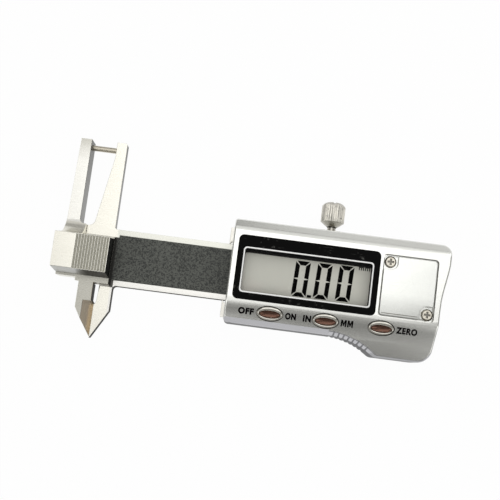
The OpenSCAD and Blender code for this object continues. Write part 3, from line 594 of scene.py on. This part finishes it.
# painted shade and painted reflection: the block's right face is nearly black, the lower blade, rims, walls
# and groove sides darker, the bevel brown, the foot and the arm tip graded dark
paintFaces(movingJaw, "shadeSteel", lambda spot, face: spot.x > jawLook["shadeX"] and face.x > 0.8
           and spot.z > 4)
paintFaces(movingJaw, "bevelSteel", lambda spot, face: spot.y < -10 and face.x > 0.4 and face.z > 0.4)
paintFaces(movingJaw, "bladeSteel", lambda spot, face: spot.y < 0 and onTop(spot, face, "armTop"))
paintFaces(movingJaw, "rimSteel", lambda spot, face: spot.y < -7 and face.x > 0.7 and abs(face.z) < 0.4)
paintFaces(movingJaw, "wallSteel", lambda spot, face: spot.x < -73 and spot.y > 8 and face.x > 0.7)
paintFaces(movingJaw, "armSteel", lambda spot, face: spot.y > 8.5 and onTop(spot, face, "armTop"))
paintFaces(movingJaw, "footSteel", lambda spot, face: face.y < -0.7 and spot.z > 7)
paintFaces(movingJaw, "grooveSteel", lambda spot, face: spot.z > 14.3 and face.x < -0.5 and spot.x > -72.3)
pin = softenedCopy("measuring_pin", "measuringPinRod", jawLook["pinEdge"])
settle(pin, "carriage", "pinSteel", "pin_steel", "measuring_pin")
sliderFrame = softenedCopy("slider_frame", "sliderFrameBlock", jawLook["frameEdge"], 2, 60)
settle(sliderFrame, "carriage", "frameSteel", "frame_steel", "slider_frame")
backPlate = softenedCopy("back_plate", "backPlateSheet", jawLook["plateEdge"], 2, 60)
settle(backPlate, "carriage", "plateSteel", "plate_steel", "back_plate")
print("jaws and slider built")

# where the buttons are, for the housing's holes and for the buttons themselves
buttonPlaces = (-17.5, -2.35, 12.8)
buttonY = -10.7

# Housing: its outline runs round from the lower left corner; each point has the width of its rounded edge,
# how much of that edge is a plain bevel, and the depth of the thumb grip's ribs there
housingLook = {
    "left": -29.88, "right": 29.88, "half": 14.28, "top": 14.88, "foot": 0.52, "waist": 1.7,
    "lowLeft": 1.2, "lowRight": 4, "highRight": 2.5, "highLeft": 0.8,
    "gripX": -1.0, "gripRadius": 21.42, "gripDepth": 4.3, "gripCorner": 2.5,
    "hollow": 0.013, "hollowEnd": 6.2, "creaseY": -8.3, "creaseSlope": 0.3057, "creaseSoft": 1.15,
    "shoulderY": 11.6, "shoulderSlope": 0.72, "shoulderSoft": 0.95,
    "ribs": 8, "ribMargins": 1.5, "ribDepth": 0.2, "ribShade": 0.55,
    "ringSteps": (0, 0.05, 0.13, 0.24, 0.38, 0.54, 0.7, 0.85, 1.0, 1.15, 1.3),
    "doorOpening": (10.5, 27.2, -8.2, 10.2), "buttonHole": (4.0, 2.3), "wallZ": 10.5, "smooth": 28,
    "bevelY": -13, "kneeY": -17.6,
}


def arcPoints(cx, cy, radius, start, end, steps):
    turns = [math.radians(start + (end - start) * i / steps) for i in range(steps + 1)]
    return [(cx + radius * math.cos(turn), cy + radius * math.sin(turn)) for turn in turns]


# The thumb grip's arc: from its centre to the corner's centre, and its angle in degrees
def gripArc(look):
    reach = look["gripRadius"] + look["gripCorner"]
    return reach, math.degrees(math.acos(1 - look["gripDepth"] / reach))


# Counts the hollows between the ribs along the arc, each at a whole number; None where it's plain
def ribCount(look, part):
    count = part * (look["ribs"] + look["ribMargins"])
    return count if 0.5 <= count <= look["ribs"] + 0.5 else None


def housingOutline(look):
    left, right, half = look["left"], look["right"], look["half"]
    reach, sweep = gripArc(look)
    lowY = -half - look["gripDepth"]
    ring = []

    def lay(points, widthFrom, widthTo, bevelFrom, bevelTo, ribs=None):
        for i, (x, y) in enumerate(points):
            part = i / max(1, len(points) - 1)
            width = widthFrom + (widthTo - widthFrom) * part
            bevel = bevelFrom + (bevelTo - bevelFrom) * part
            ring.append((x, y, width, bevel, ribs(part) if ribs else 0.0))

    def ribDepth(part):
        count = ribCount(look, part)
        if count is None:
            return 0.0
        return look["ribDepth"] * (0.5 + 0.5 * math.cos(2 * math.pi * count)) ** 2

    bend = look["lowLeft"]
    lay(arcPoints(left + bend, bend - half, bend, 180, 270, 8), 0.6, 0.8, 0.0, 1.0)
    lay([(left + bend + 0.4 * i, -half) for i in range(1, 8)], 0.8, 0.95, 1.0, 1.0)
    lay([(left + 4.4 + 0.8 * i, -half) for i in range(0, 31)], 0.95, 0.95, 1.0, 1.0)
    lay(arcPoints(look["gripX"], -half - look["gripRadius"], look["gripRadius"], 90, 90 - sweep, 114),
        0.95, 0.7, 1.0, 1.0, ribDepth)
    knee = (look["gripX"] + reach * math.sin(math.radians(sweep)), lowY + look["gripCorner"])
    lay(arcPoints(*knee, look["gripCorner"], 270 - sweep + 3, 270, 10), 0.7, 0.5, 1.0, 1.0)
    endX = right - look["waist"] - 4.7
    lay([(knee[0] + (endX - knee[0]) * i / 12, lowY) for i in range(1, 12)], 0.42, 0.36, 1.0, 1.0)
    lay(arcPoints(endX, lowY + look["lowRight"], look["lowRight"], 270, 356, 20), 0.4, 0.5, 1.0, 0.0)
    side = ((right - look["waist"], -8.15), (right - look["waist"] + 0.02, -5.4),
            (right - look["waist"] + 0.15, -1.43), (right - 1.24, 1.0), (right - 0.8, 3.5),
            (right - 0.3, 6.4), (right - 0.02, 8.6), (right, 10.2))
    lay(side, 0.5, 0.5, 0.0, 0.0)
    bend = look["highRight"]
    lay(arcPoints(right - bend, half - bend, bend, 0, 90, 12), 0.5, 0.45, 0.0, 0.0)
    lay([(right - bend - i * 1.5, half) for i in range(1, 38)], 0.45, 0.45, 0.0, 0.0)
    bend = look["highLeft"]
    lay(arcPoints(left + bend, half - bend, bend, 90, 180, 8), 0.45, 0.5, 0.0, 0.0)
    lay([(left, half - 2.2 - i * 1.3) for i in range(0, 19)], 0.5, 0.5, 0.0, 0.0)
    return ring


def softRamp(run, soft):
    if run <= -soft:
        return 0.0
    if run >= soft:
        return run
    return (run + soft) ** 2 / (4 * soft)


def housingHeight(look, y):
    run = max(0.0, look["creaseY"] - y)
    fall = look["creaseSlope"] * softRamp(look["creaseY"] - y, look["creaseSoft"])
    fall += look["hollow"] * (run * (look["hollowEnd"] - run)) if run < look["hollowEnd"] else 0.0
    fall += look["shoulderSlope"] * softRamp(y - look["shoulderY"], look["shoulderSoft"])
    return look["top"] - fall


# How far the rounded edge lies under the face: step 0 is the outline, 1 the end of the edge
def edgeFall(step, width, bevel):
    slope, lip, lipEnd = 1.78, 0.12, 0.13
    plain = 1 - step if step < 0.7 else max(0.0, 1.3 - step) ** 2 / 1.2
    plain = width * (slope * plain + lip * max(0.0, 1 - step / lipEnd) ** 2)
    roundFall = width * (1 - math.sqrt(max(0.0, 1 - max(0.0, 1 - step) ** 2)))
    return bevel * plain + (1 - bevel) * roundFall


def housingBody(look):
    ring = housingOutline(look)
    count = len(ring)
    mesh = bpy.data.meshes.new("housingShell")
    piece = bpy.data.objects.new("housingShell", mesh)
    bpy.context.scene.collection.objects.link(piece)
    shape = bmesh.new()
    rows = []
    for step in look["ringSteps"]:
        row = []
        for i, (x, y, width, bevel, rib) in enumerate(ring):
            before, after = ring[i - 1], ring[(i + 1) % count]
            run = Vector((after[0] - before[0], after[1] - before[1])).normalized()
            inward = Vector((-run.y, run.x))
            away = step * width + rib * max(0.0, 1 - step / 1.3)
            fall = edgeFall(step, width, bevel) + 0.9 * rib * max(0.0, 1 - step)
            place = (x + inward.x * away, y + inward.y * away, -fall)
            row.append(shape.verts.new([part * mm for part in place]))
        rows.append(row)
    for outer, inner in zip(rows, rows[1:]):
        for i in range(count):
            k = (i + 1) % count
            shape.faces.new((outer[i], outer[k], inner[k], inner[i]))
    shape.faces.new(rows[-1])
    shape.to_mesh(mesh)
    shape.free()
    # the crease and the shoulder are cut in as narrow strips, then every point takes its height
    openShape(piece)
    for middle, soft in ((look["creaseY"], look["creaseSoft"]), (look["shoulderY"], look["shoulderSoft"])):
        for part in (-1, -0.6, -0.2, 0.2, 0.6, 1):
            sliceShape((0, middle + part * soft, 0), (0, 1, 0))
    for part in range(1, 9):
        sliceShape((0, look["creaseY"] - look["hollowEnd"] * part / 8, 0), (0, 1, 0))
    bpy.ops.object.mode_set(mode="OBJECT")
    for vert in mesh.vertices:
        vert.co.z += housingHeight(look, vert.co.y / mm) * mm
    # walls down to the foot, and a lid there
    openShape(piece)
    bpy.ops.mesh.select_all(action="SELECT")
    bpy.ops.mesh.region_to_loop()
    bpy.ops.mesh.extrude_edges_move(TRANSFORM_OT_translate={"value": (0, 0, -0.01 * mm)})
    shape = bmesh.from_edit_mesh(mesh)
    for vert in shape.verts:
        if vert.select:
            vert.co.z = look["foot"] * mm
    bpy.ops.mesh.edge_face_add()
    turnOutward()
    closeShape(piece)
    return piece


housing = housingBody(housingLook)
cutWith(housing, mergedCopy("housing_cover", "coverTool", 0.0005, False), "INTERSECT")
openShape(housing)
mergeShape(0.002)
bpy.ops.mesh.dissolve_limited(angle_limit=math.radians(0.1))
bpy.ops.object.mode_set(mode="OBJECT")
smoothByAngle(housing, housingLook["smooth"])
settle(housing, "carriage", "satinSilver", "housing_silver", "housing_cover")


# True on the bevel that runs along the front, from a given depth on
def onFrontBevel(spot, face, frontY):
    return face.y < -0.42 and face.z > 0.15 and spot.y < frontY


# True in the hollows between the thumb grip's ribs
def inRib(spot, face):
    if face.y > -0.25 or not 0.1 < face.z < 0.89:
        return False
    centre = (housingLook["gripX"], -housingLook["half"] - housingLook["gripRadius"])
    turn = 90 - math.degrees(math.atan2(spot.y - centre[1], spot.x - centre[0]))
    count = ribCount(housingLook, turn / gripArc(housingLook)[1])
    return count is not None and math.cos(2 * math.pi * count) > housingLook["ribShade"]


# True on the walls of the holes that are cut down into the face
def onHoleWall(spot, face):
    return abs(face.z) < 0.6 and spot.z > housingLook["wallZ"]


def nearDoor(spot):
    left, right, low, high = housingLook["doorOpening"]
    return left < spot.x < right and low < spot.y < high


def nearButton(spot):
    wide, deep = housingLook["buttonHole"]
    return min(((spot.x - x) / wide) ** 2 + ((spot.y - buttonY) / deep) ** 2 for x in buttonPlaces) < 1


# painted shade: darker silver on the front bevel, the front walls, past the knee and in the rib hollows,
# and dark colours on the walls of the door opening and the button holes
paintFaces(housing, "edgeSilver", lambda spot, face: onFrontBevel(spot, face, housingLook["bevelY"]))
paintFaces(housing, "rimSilver", lambda spot, face: face.y < -0.3 and abs(face.z) < 0.15
           and spot.y < housingLook["bevelY"])
paintFaces(housing, "rimSilver", inRib)
paintFaces(housing, "kneeSilver", lambda spot, face: onFrontBevel(spot, face, housingLook["kneeY"]))
paintFaces(housing, "recessSteel", lambda spot, face: onHoleWall(spot, face) and nearDoor(spot))
paintFaces(housing, "holderBlack", lambda spot, face: onHoleWall(spot, face) and nearButton(spot))
print("housing built:", len(housing.data.polygons), "faces")

# Display: frame, trim ring, dark gasket behind the window, digits
displayLook = {"frameEdge": 0.12, "trimEdge": 0.08, "trimWallTop": 14.85, "panelZ": 12.0, "ink": 0.02,
               "gasket": (-26.6, 9.0, -5.8, 6.6, 0.9), "opening": (-26.15, 8.75, -5.38, 5.36, 0.5),
               "gasketLevels": (12.03, 12.76)}
displayFrame = softenedCopy("display_bezel", "displayFrame", displayLook["frameEdge"])
settle(displayFrame, "carriage", "glossBlack", "bezel_black", "display_bezel")
trimRing = softenedCopy("display_trim", "trimRing", displayLook["trimEdge"], 3)
settle(trimRing, "carriage", "trimSilver", "trim_silver", "display_trim")
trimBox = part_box("display_trim")
trimCentre = (Vector(trimBox[0]) + Vector(trimBox[1])) / 2 / mm


# True on the ring's inner walls, under its rounded top edge
def onInnerWall(spot, face):
    if abs(face.z) > 0.5 or spot.z > displayLook["trimWallTop"]:
        return False
    return (spot.x - trimCentre.x) * face.x < -0.01 or (spot.y - trimCentre.y) * face.y < -0.01


# painted shade: the ring's inner walls are black
paintFaces(trimRing, "holderBlack", onInnerWall)
# painted shade: the gasket's opening is set in further at the top and on the right, where its black stands
# in for the shade under the trim
gasketFoot, gasketTop = displayLook["gasketLevels"]
gasket = outlinePlate("windowGasket", roundedCorners(*displayLook["gasket"]), gasketFoot, gasketTop)
cutWith(gasket, outlinePlate("gasketTool", roundedCorners(*displayLook["opening"]), 11, 14))
smoothByAngle(gasket)
settle(gasket, "carriage", "holderBlack", "holder_black")

# A nought has six strokes with mitred ends; the middle stroke is off
digitLook = {"width": 4.05, "half": 4.92, "stroke": 1.18, "slant": 0.043,
             "places": ((-12.17, 0.0), (-6.16, 0.06), (-0.14, 0.2)),
             "point": ((-8.05, -4.87), (-6.88, -4.87), (-6.84, -4.13), (-8.01, -4.13)),
             "unit": (3.1, 0.95), "unitPlace": (5.3, 4.42), "unitWeight": 0.02}


def digitStrokes(look):
    w, h, t = look["width"], look["half"], look["stroke"]
    flat = ((0.3, h), (t + 0.14, h - t), (w - t - 0.14, h - t), (w - 0.3, h))
    tall = ((0, h - 0.26), (0, 0.03), (t, 0.26), (t, h - t - 0.14))
    strokes = []
    for corners, sideways in ((flat, False), (tall, False), (tall, True)):
        for upright in (1, -1):
            points = [((w - x) if sideways else x, y * upright) for x, y in corners]
            strokes.append([(x + y * look["slant"], y) for x, y in points])
    return strokes


inkLow = displayLook["panelZ"] + 0.004
inkHigh = inkLow + displayLook["ink"]
nought = joinPieces("nought", [outlinePlate("stroke", corners, inkLow, inkHigh)
                               for corners in digitStrokes(digitLook)])
digits = [copyPiece(nought, "digit%d" % i, (x, y, 0)) for i, (x, y) in enumerate(digitLook["places"])]
bpy.data.objects.remove(nought, do_unlink=True)
point = outlinePlate("decimalPoint", digitLook["point"], inkLow, inkHigh)


# Letters are made a mesh, then fitted to a width and a height from the lower left corner
def letterPlate(label, words, width, height, place, heavy, thick):
    bpy.ops.object.select_all(action="DESELECT")
    bpy.ops.object.text_add(location=(0, 0, 0))
    text = bpy.context.object
    text.data.body = words
    text.data.size = 1.0
    text.data.offset = heavy
    text.data.space_character = 1.14
    text.data.extrude = 0.1
    text.data.resolution_u = 6
    bpy.ops.object.convert(target="MESH")
    piece = bpy.context.object
    piece.name = label
    spots = [vert.co for vert in piece.data.vertices]
    low = Vector([min(spot[i] for spot in spots) for i in range(3)])
    high = Vector([max(spot[i] for spot in spots) for i in range(3)])
    size = high - low
    fit = Matrix.Diagonal((width * mm / size.x, height * mm / size.y, thick * mm / size.z, 1))
    piece.data.transform(Matrix.Translation(Vector(place) * mm) @ fit @ Matrix.Translation(-low))
    openShape(piece)
    mergeShape(0.0005)
    turnOutward()
    closeShape(piece)
    return piece


unitSign = letterPlate("unitSign", "mm", *digitLook["unit"], (*digitLook["unitPlace"], inkLow),
                       digitLook["unitWeight"], displayLook["ink"])
display = joinPieces("displayInk", digits + [point, unitSign])
settle(display, "carriage", "inkBlack", "lcd_grey")

# Labels on the sloping panel: left end, right end and weight of each word, and the outline of an M
labelLook = {"height": 1.78, "footY": -11.6, "sink": 0.014, "thick": 0.03,
             "words": (("OFF", -26.1, -21.85, 0.062), ("ON", -13.3, -10.35, 0.062),
                       ("IN", -8.45, -6.25, 0.058), ("ZERO", 16.9, 22.65, 0.052)),
             "bigM": ((0, 0), (0, 1.82), (0.5, 1.82), (0.77, 0.98), (1.04, 1.82), (1.54, 1.82), (1.54, 0),
                      (1.14, 0), (1.14, 1.02), (0.88, 0.2), (0.66, 0.2), (0.4, 1.02), (0.4, 0)),
             "bigMPlaces": (1.86, 3.64)}
labels = [letterPlate("label" + word.title(), word, end - start, labelLook["height"],
                      (start, labelLook["footY"], 0), heavy, labelLook["thick"])
          for word, start, end, heavy in labelLook["words"]]
for x in labelLook["bigMPlaces"]:
    corners = [(x + across, labelLook["footY"] + up) for across, up in labelLook["bigM"]]
    labels.append(outlinePlate("labelM", corners, 0, labelLook["thick"]))
labels = joinPieces("panelLabels", labels)
for vert in labels.data.vertices:
    vert.co.z += (housingHeight(housingLook, vert.co.y / mm) - labelLook["sink"]) * mm
settle(labels, "carriage", "inkBlack", "housing_silver")
print("display and labels built")

# Buttons: an oval with a rolled rim and a dish that lies off its centre
buttonLook = {
    "nodes": ("button_on_off", "button_inch_mm", "button_zero"), "smooth": 40,
    "tilt": 17, "crest": 0.56, "foot": -0.5,
    "outer": (3.42, 1.8), "dish": (2.88, 1.02), "dishShift": -0.26, "dishTop": -0.32, "dishFloor": -1.0,
    "skirtTop": -0.3,
    "rim": ((0, -1.15), (0.02, -0.34), (0.12, -0.13), (0.3, -0.03), (0.52, 0.0), (0.74, -0.05),
            (0.9, -0.15), (1.0, -0.3)),
    "bowl": ((0.96, -0.44), (0.86, -0.58), (0.72, -0.7), (0.55, -0.79), (0.35, -0.86), (0.15, -0.89)),
}


# Stacks levels on a disc: each is a half width, a half depth, a shift and a height
def raiseLevels(label, levels, corners=64):
    bpy.ops.object.select_all(action="DESELECT")
    first = levels[0]
    bpy.ops.mesh.primitive_circle_add(vertices=corners, radius=mm, fill_type="NGON",
                                      location=(0, first[2] * mm, first[3] * mm))
    piece = bpy.context.object
    piece.name = label
    piece.scale = (first[0], first[1], 1)
    dropPlace(piece)
    openShape(piece, "FACE")
    bpy.ops.mesh.select_all(action="SELECT")
    for before, after in zip(levels, levels[1:]):
        rise = (0, (after[2] - before[2]) * mm, (after[3] - before[3]) * mm)
        bpy.ops.mesh.extrude_region_move(TRANSFORM_OT_translate={"value": rise})
        bpy.ops.transform.resize(value=(after[0] / before[0], after[1] / before[1], 1),
                                 center_override=(0, after[2] * mm, after[3] * mm))
    turnOutward()
    closeShape(piece)
    return piece


# What a CAD solid has on the inner side of a plane
def lowerPart(nodeName, label, place, normal):
    piece = mergedCopy(nodeName, label)
    openShape(piece)
    sliceShape(place, normal, use_fill=True, clear_outer=True)
    closeShape(piece)
    return piece


def buttonLevels(look):
    levels = []
    for share, height in look["rim"]:
        halfWidth = look["outer"][0] + (look["dish"][0] - look["outer"][0]) * share
        halfDepth = look["outer"][1] + (look["dish"][1] - look["outer"][1]) * share
        levels.append((halfWidth, halfDepth, look["dishShift"] * share, height))
    for share, height in look["bowl"]:
        levels.append((look["dish"][0] * share, look["dish"][1] * share, look["dishShift"], height))
    return levels


tilt = math.radians(buttonLook["tilt"])
panelZ = housingHeight(housingLook, buttonY)
capPattern = raiseLevels("capPattern", buttonLevels(buttonLook))
capPattern.rotation_euler = (tilt, 0, 0)
capPattern.location = (0, buttonY * mm, (panelZ + buttonLook["crest"]) * mm)
dropPlace(capPattern)
upward = Vector((0, -math.sin(tilt), math.cos(tilt)))
crestPlace = Vector((0, buttonY, panelZ + buttonLook["crest"]))
for name, x in zip(buttonLook["nodes"], buttonPlaces):
    cap = copyPiece(capPattern, name + "Top", (x, 0, 0))
    stem = lowerPart(name, name + "Stem", (x, buttonY, panelZ + buttonLook["foot"]), upward)
    button = joinPieces(name + "Cap", [cap, stem])
    smoothByAngle(button, buttonLook["smooth"])
    settle(button, name, "buttonChrome", "button_chrome", name)
    # painted reflection: the dish is brown for what it mirrors; painted shade: the skirt under the rim is
    # black
    paintFaces(button, "buttonDish", lambda spot, face: face.dot(upward) > 0.6
               and buttonLook["dishFloor"] < (spot - crestPlace).dot(upward) < buttonLook["dishTop"])
    paintFaces(button, "holderBlack", lambda spot, face: face.dot(upward) < 0.3
               and (spot - crestPlace).dot(upward) < buttonLook["skirtTop"])
bpy.data.objects.remove(capPattern, do_unlink=True)
print("buttons built")

# Battery door, a little smaller than its opening, and its screws
doorLook = {"edge": 0.2, "shrink": (0.962, 0.952), "shift": (0.04, 0.06, 0),
            "bendY": -0.5, "bend": 0.0021, "bendStep": 0.75, "faceZ": 14.5,
            "lip": 0.58, "lipWidth": 0.2, "lipDepth": 0.34, "lipInset": 0.6, "lipEnd": 4.2,
            "screws": ((13.35, 7.45), (24.65, -5.65)), "screwEdge": 0.06, "recessRadius": 0.95,
            "recessTop": 0.12, "recessFoot": 1.4}
door = mergedCopy("battery_door", "batteryDoorPlate")
# the plate bends down a little towards its lower edge
openShape(door)
for step in range(10):
    sliceShape((0, doorLook["bendY"] - doorLook["bendStep"] * step, 0), (0, 1, 0))
closeShape(door)
for vert in door.data.vertices:
    run = max(0.0, doorLook["bendY"] - vert.co.y / mm)
    if vert.co.z > doorLook["faceZ"] * mm:
        vert.co.z -= doorLook["bend"] * run ** 2 * mm
bevelEdges(door, doorLook["edge"], 2)
# a fine groove sets the lower lip off from the face
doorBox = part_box("battery_door")
doorLow, doorHigh = Vector(doorBox[0]) / mm, Vector(doorBox[1]) / mm
lipLeft, lipRight = doorLow.x + doorLook["lipInset"], doorHigh.x - doorLook["lipEnd"]
lipLow = doorLow.y + doorLook["lip"]
lipHigh = lipLow + doorLook["lipWidth"]
lipFloor = doorHigh.z - doorLook["lipDepth"]
lipCorners = squareCorners(lipLeft, lipRight, lipLow, lipHigh)
cutWith(door, outlinePlate("lipTool", lipCorners, lipFloor, doorHigh.z + 1))
smoothByAngle(door)
doorCentre = (Vector(doorBox[0]) + Vector(doorBox[1])) / 2
shrink = Matrix.Diagonal((*doorLook["shrink"], 1, 1))
door.data.transform(Matrix.Translation(doorCentre + Vector(doorLook["shift"]) * mm) @ shrink
                    @ Matrix.Translation(-doorCentre))
settle(door, "carriage", "doorSilver", "door_silver", "battery_door")
# painted shade: the door's edges and the floor of its lip groove are darker
paintFaces(door, "recessSteel", lambda spot, face: abs(face.z) < 0.3
           or (spot.y < lipHigh + 0.5 and face.z > 0.9 and abs(spot.z - lipFloor) < 0.02))
doorScrews = softenedCopy("battery_door_screws", "batteryDoorScrewPair", doorLook["screwEdge"])
settle(doorScrews, "carriage", "screwSteel", "screw_steel", "battery_door_screws")
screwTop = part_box("battery_door_screws")[1][2] / mm


# True down in the cross-shaped recesses of the two heads
def inRecess(spot, face):
    if not doorLook["recessTop"] < screwTop - spot.z < doorLook["recessFoot"]:
        return False
    return min(math.hypot(spot.x - x, spot.y - y) for x, y in doorLook["screws"]) < doorLook["recessRadius"]


# painted shade: darker down in the cross recesses
paintFaces(doorScrews, "recessSteel", inRecess)
print("battery door built")

# Lock screw: shank from the CAD, then neck, cone, knurled band and dome
knobLook = {
    "x": -2.75, "z": 3.55, "cut": 15.2, "teeth": 28, "toothDepth": 0.955, "band": (17.9, 22.62),
    "slotHalf": 0.4, "slot": (23.15, 24.5), "smooth": 38, "neck": (16.31, 16.6), "cone": 17.9, "dome": 22.9,
    "levels": ((1.2, 15.1), (1.2, 16.3), (1.28, 16.32), (1.28, 16.58), (1.5, 16.6), (2.35, 17.2),
               (3.08, 17.78), (3.28, 17.95), (3.33, 18.05), (3.33, 20.15), (3.33, 22.45), (3.27, 22.6),
               (3.08, 22.85), (2.62, 23.28), (2.0, 23.56), (1.2, 23.74), (0.5, 23.79)),
}
knobCorners = knobLook["teeth"] * 3
knobTop = raiseLevels("knobTop", [(radius, radius, 0, y) for radius, y in knobLook["levels"]], knobCorners)
# every third corner of the band is a groove
for vert in knobTop.data.vertices:
    y = vert.co.z / mm
    turn = math.degrees(math.atan2(vert.co.y, vert.co.x)) * knobCorners / 360
    if knobLook["band"][0] < y < knobLook["band"][1] and round(turn) % 3 == 0:
        vert.co.x *= knobLook["toothDepth"]
        vert.co.y *= knobLook["toothDepth"]
knobTop.rotation_euler = (math.radians(-90), 0, 0)
knobTop.location = (knobLook["x"] * mm, 0, knobLook["z"] * mm)
dropPlace(knobTop)
shank = lowerPart("lock_screw", "knobShank", (knobLook["x"], knobLook["cut"], knobLook["z"]), (0, 1, 0))
knob = joinPieces("lockScrewKnob", [knobTop, shank])
slotLeft, slotRight = knobLook["x"] - knobLook["slotHalf"], knobLook["x"] + knobLook["slotHalf"]
slotCorners = squareCorners(slotLeft, slotRight, *knobLook["slot"])
cutWith(knob, outlinePlate("slotTool", slotCorners, -1, 8))
smoothByAngle(knob, knobLook["smooth"])
settle(knob, "lock_screw", "knurledNickel", "knob_metal", "lock_screw")
neckLow, neckHigh = knobLook["neck"]
# painted shade: the small groove at the neck's top is nearly black for its shadow, and the neck, the cone
# and the dome take a darker steel than the band
paintFaces(knob, "shadeSteel", lambda spot, face: neckLow < spot.y < neckHigh)
paintFaces(knob, "neckSteel", lambda spot, face: spot.y < neckLow or neckHigh < spot.y < knobLook["cone"]
           or spot.y > knobLook["dome"])
print("lock screw built")

# Floor, light and camera
floorLook = {"size": 3.0, "tint": (0.92, 0.92, 0.92), "glow": 1.0, "share": 0.97}
bpy.ops.object.select_all(action="DESELECT")
bpy.ops.mesh.primitive_plane_add(size=floorLook["size"], location=(0, 0, 0))
floor = bpy.context.object
floor.name = "floorSheet"
floorPaint = Paint("floorSheet")
floorPaint.set(Base_Color=rgb(*floorLook["tint"]), Roughness=0.9, Specular_IOR_Level=0.0)
glow = floorPaint.add("ShaderNodeEmission", None, {"Color": rgb(1, 1, 1), "Strength": floorLook["glow"]})
rays = floorPaint.tree.nodes.new("ShaderNodeLightPath")
seen = Wire(floorPaint, rays.outputs["Is Camera Ray"]) + Wire(floorPaint, rays.outputs["Is Glossy Ray"])
seen = seen + Wire(floorPaint, rays.outputs["Is Transmission Ray"])
mixed = floorPaint.add("ShaderNodeMixShader", None, {0: seen * floorLook["share"], 2: glow})
floorPaint.tree.links.new(floorPaint.shader.outputs[0], mixed.socket.node.inputs[1])
floorPaint.tree.links.new(mixed.socket, floorPaint.tree.nodes["Material Output"].inputs["Surface"])
floor.data.materials.append(floorPaint.material)

world = bpy.data.worlds.new("studio")
bpy.context.scene.world = world
world.use_nodes = True
background = world.node_tree.nodes["Background"]
background.inputs["Color"].default_value = rgb(0.302, 0.298, 0.288)
background.inputs["Strength"].default_value = 1.0


def addLamp(name, place, aim, size, watts):
    bpy.ops.object.light_add(type="AREA", location=place)
    lamp = bpy.context.object
    lamp.name = name
    lamp.data.shape = "RECTANGLE"
    lamp.data.size = size[0]
    lamp.data.size_y = size[1]
    lamp.data.energy = watts
    lamp.rotation_euler = (Vector(aim) - Vector(place)).to_track_quat("-Z", "Y").to_euler()


# the first five are mirrored in the steel and the silver paint, the last three fill from the corners
addLamp("softBox", (-0.02, 0.167, 0.5), (-0.02, 0.167, 0.0), (0.4, 0.295), 0.5)
addLamp("frontCard", (-0.05, -0.085, 0.5), (-0.05, -0.085, 0.0), (0.34, 0.22), 0.185)
addLamp("lowerCard", (-0.16, -0.228, 0.5), (-0.16, -0.228, 0.0), (0.28, 0.075), 0.055)
addLamp("upperCard", (-0.02, 0.45, 0.4), (-0.02, 0.0, 0.01), (0.7, 0.37), 0.44)
addLamp("backStrip", (0.25, 0.585, 0.12), (0.0, 0.0, 0.02), (0.6, 0.2), 0.16)
addLamp("leftFill", (-0.36, -0.28, 0.42), (-0.02, 0.0, 0.0), (0.3, 0.3), 0.42)
addLamp("rightFill", (0.34, -0.26, 0.4), (-0.02, 0.0, 0.0), (0.3, 0.3), 0.38)
addLamp("backFill", (0.3, 0.36, 0.36), (-0.02, 0.0, 0.0), (0.3, 0.3), 0.38)

cameraLook = {"place": (-24.334, -24.732, 257.098), "turn": (7.1307, -0.7660, 7.3017),
              "lens": 64.8, "sensor": 36, "near": 5}
bpy.ops.object.camera_add(location=[part * mm for part in cameraLook["place"]],
                          rotation=[math.radians(part) for part in cameraLook["turn"]])
camera = bpy.context.object
camera.data.lens = cameraLook["lens"]
camera.data.sensor_width = cameraLook["sensor"]
camera.data.clip_start = cameraLook["near"] * mm
bpy.context.scene.camera = camera
bpy.context.scene.view_settings.view_transform = "Standard"
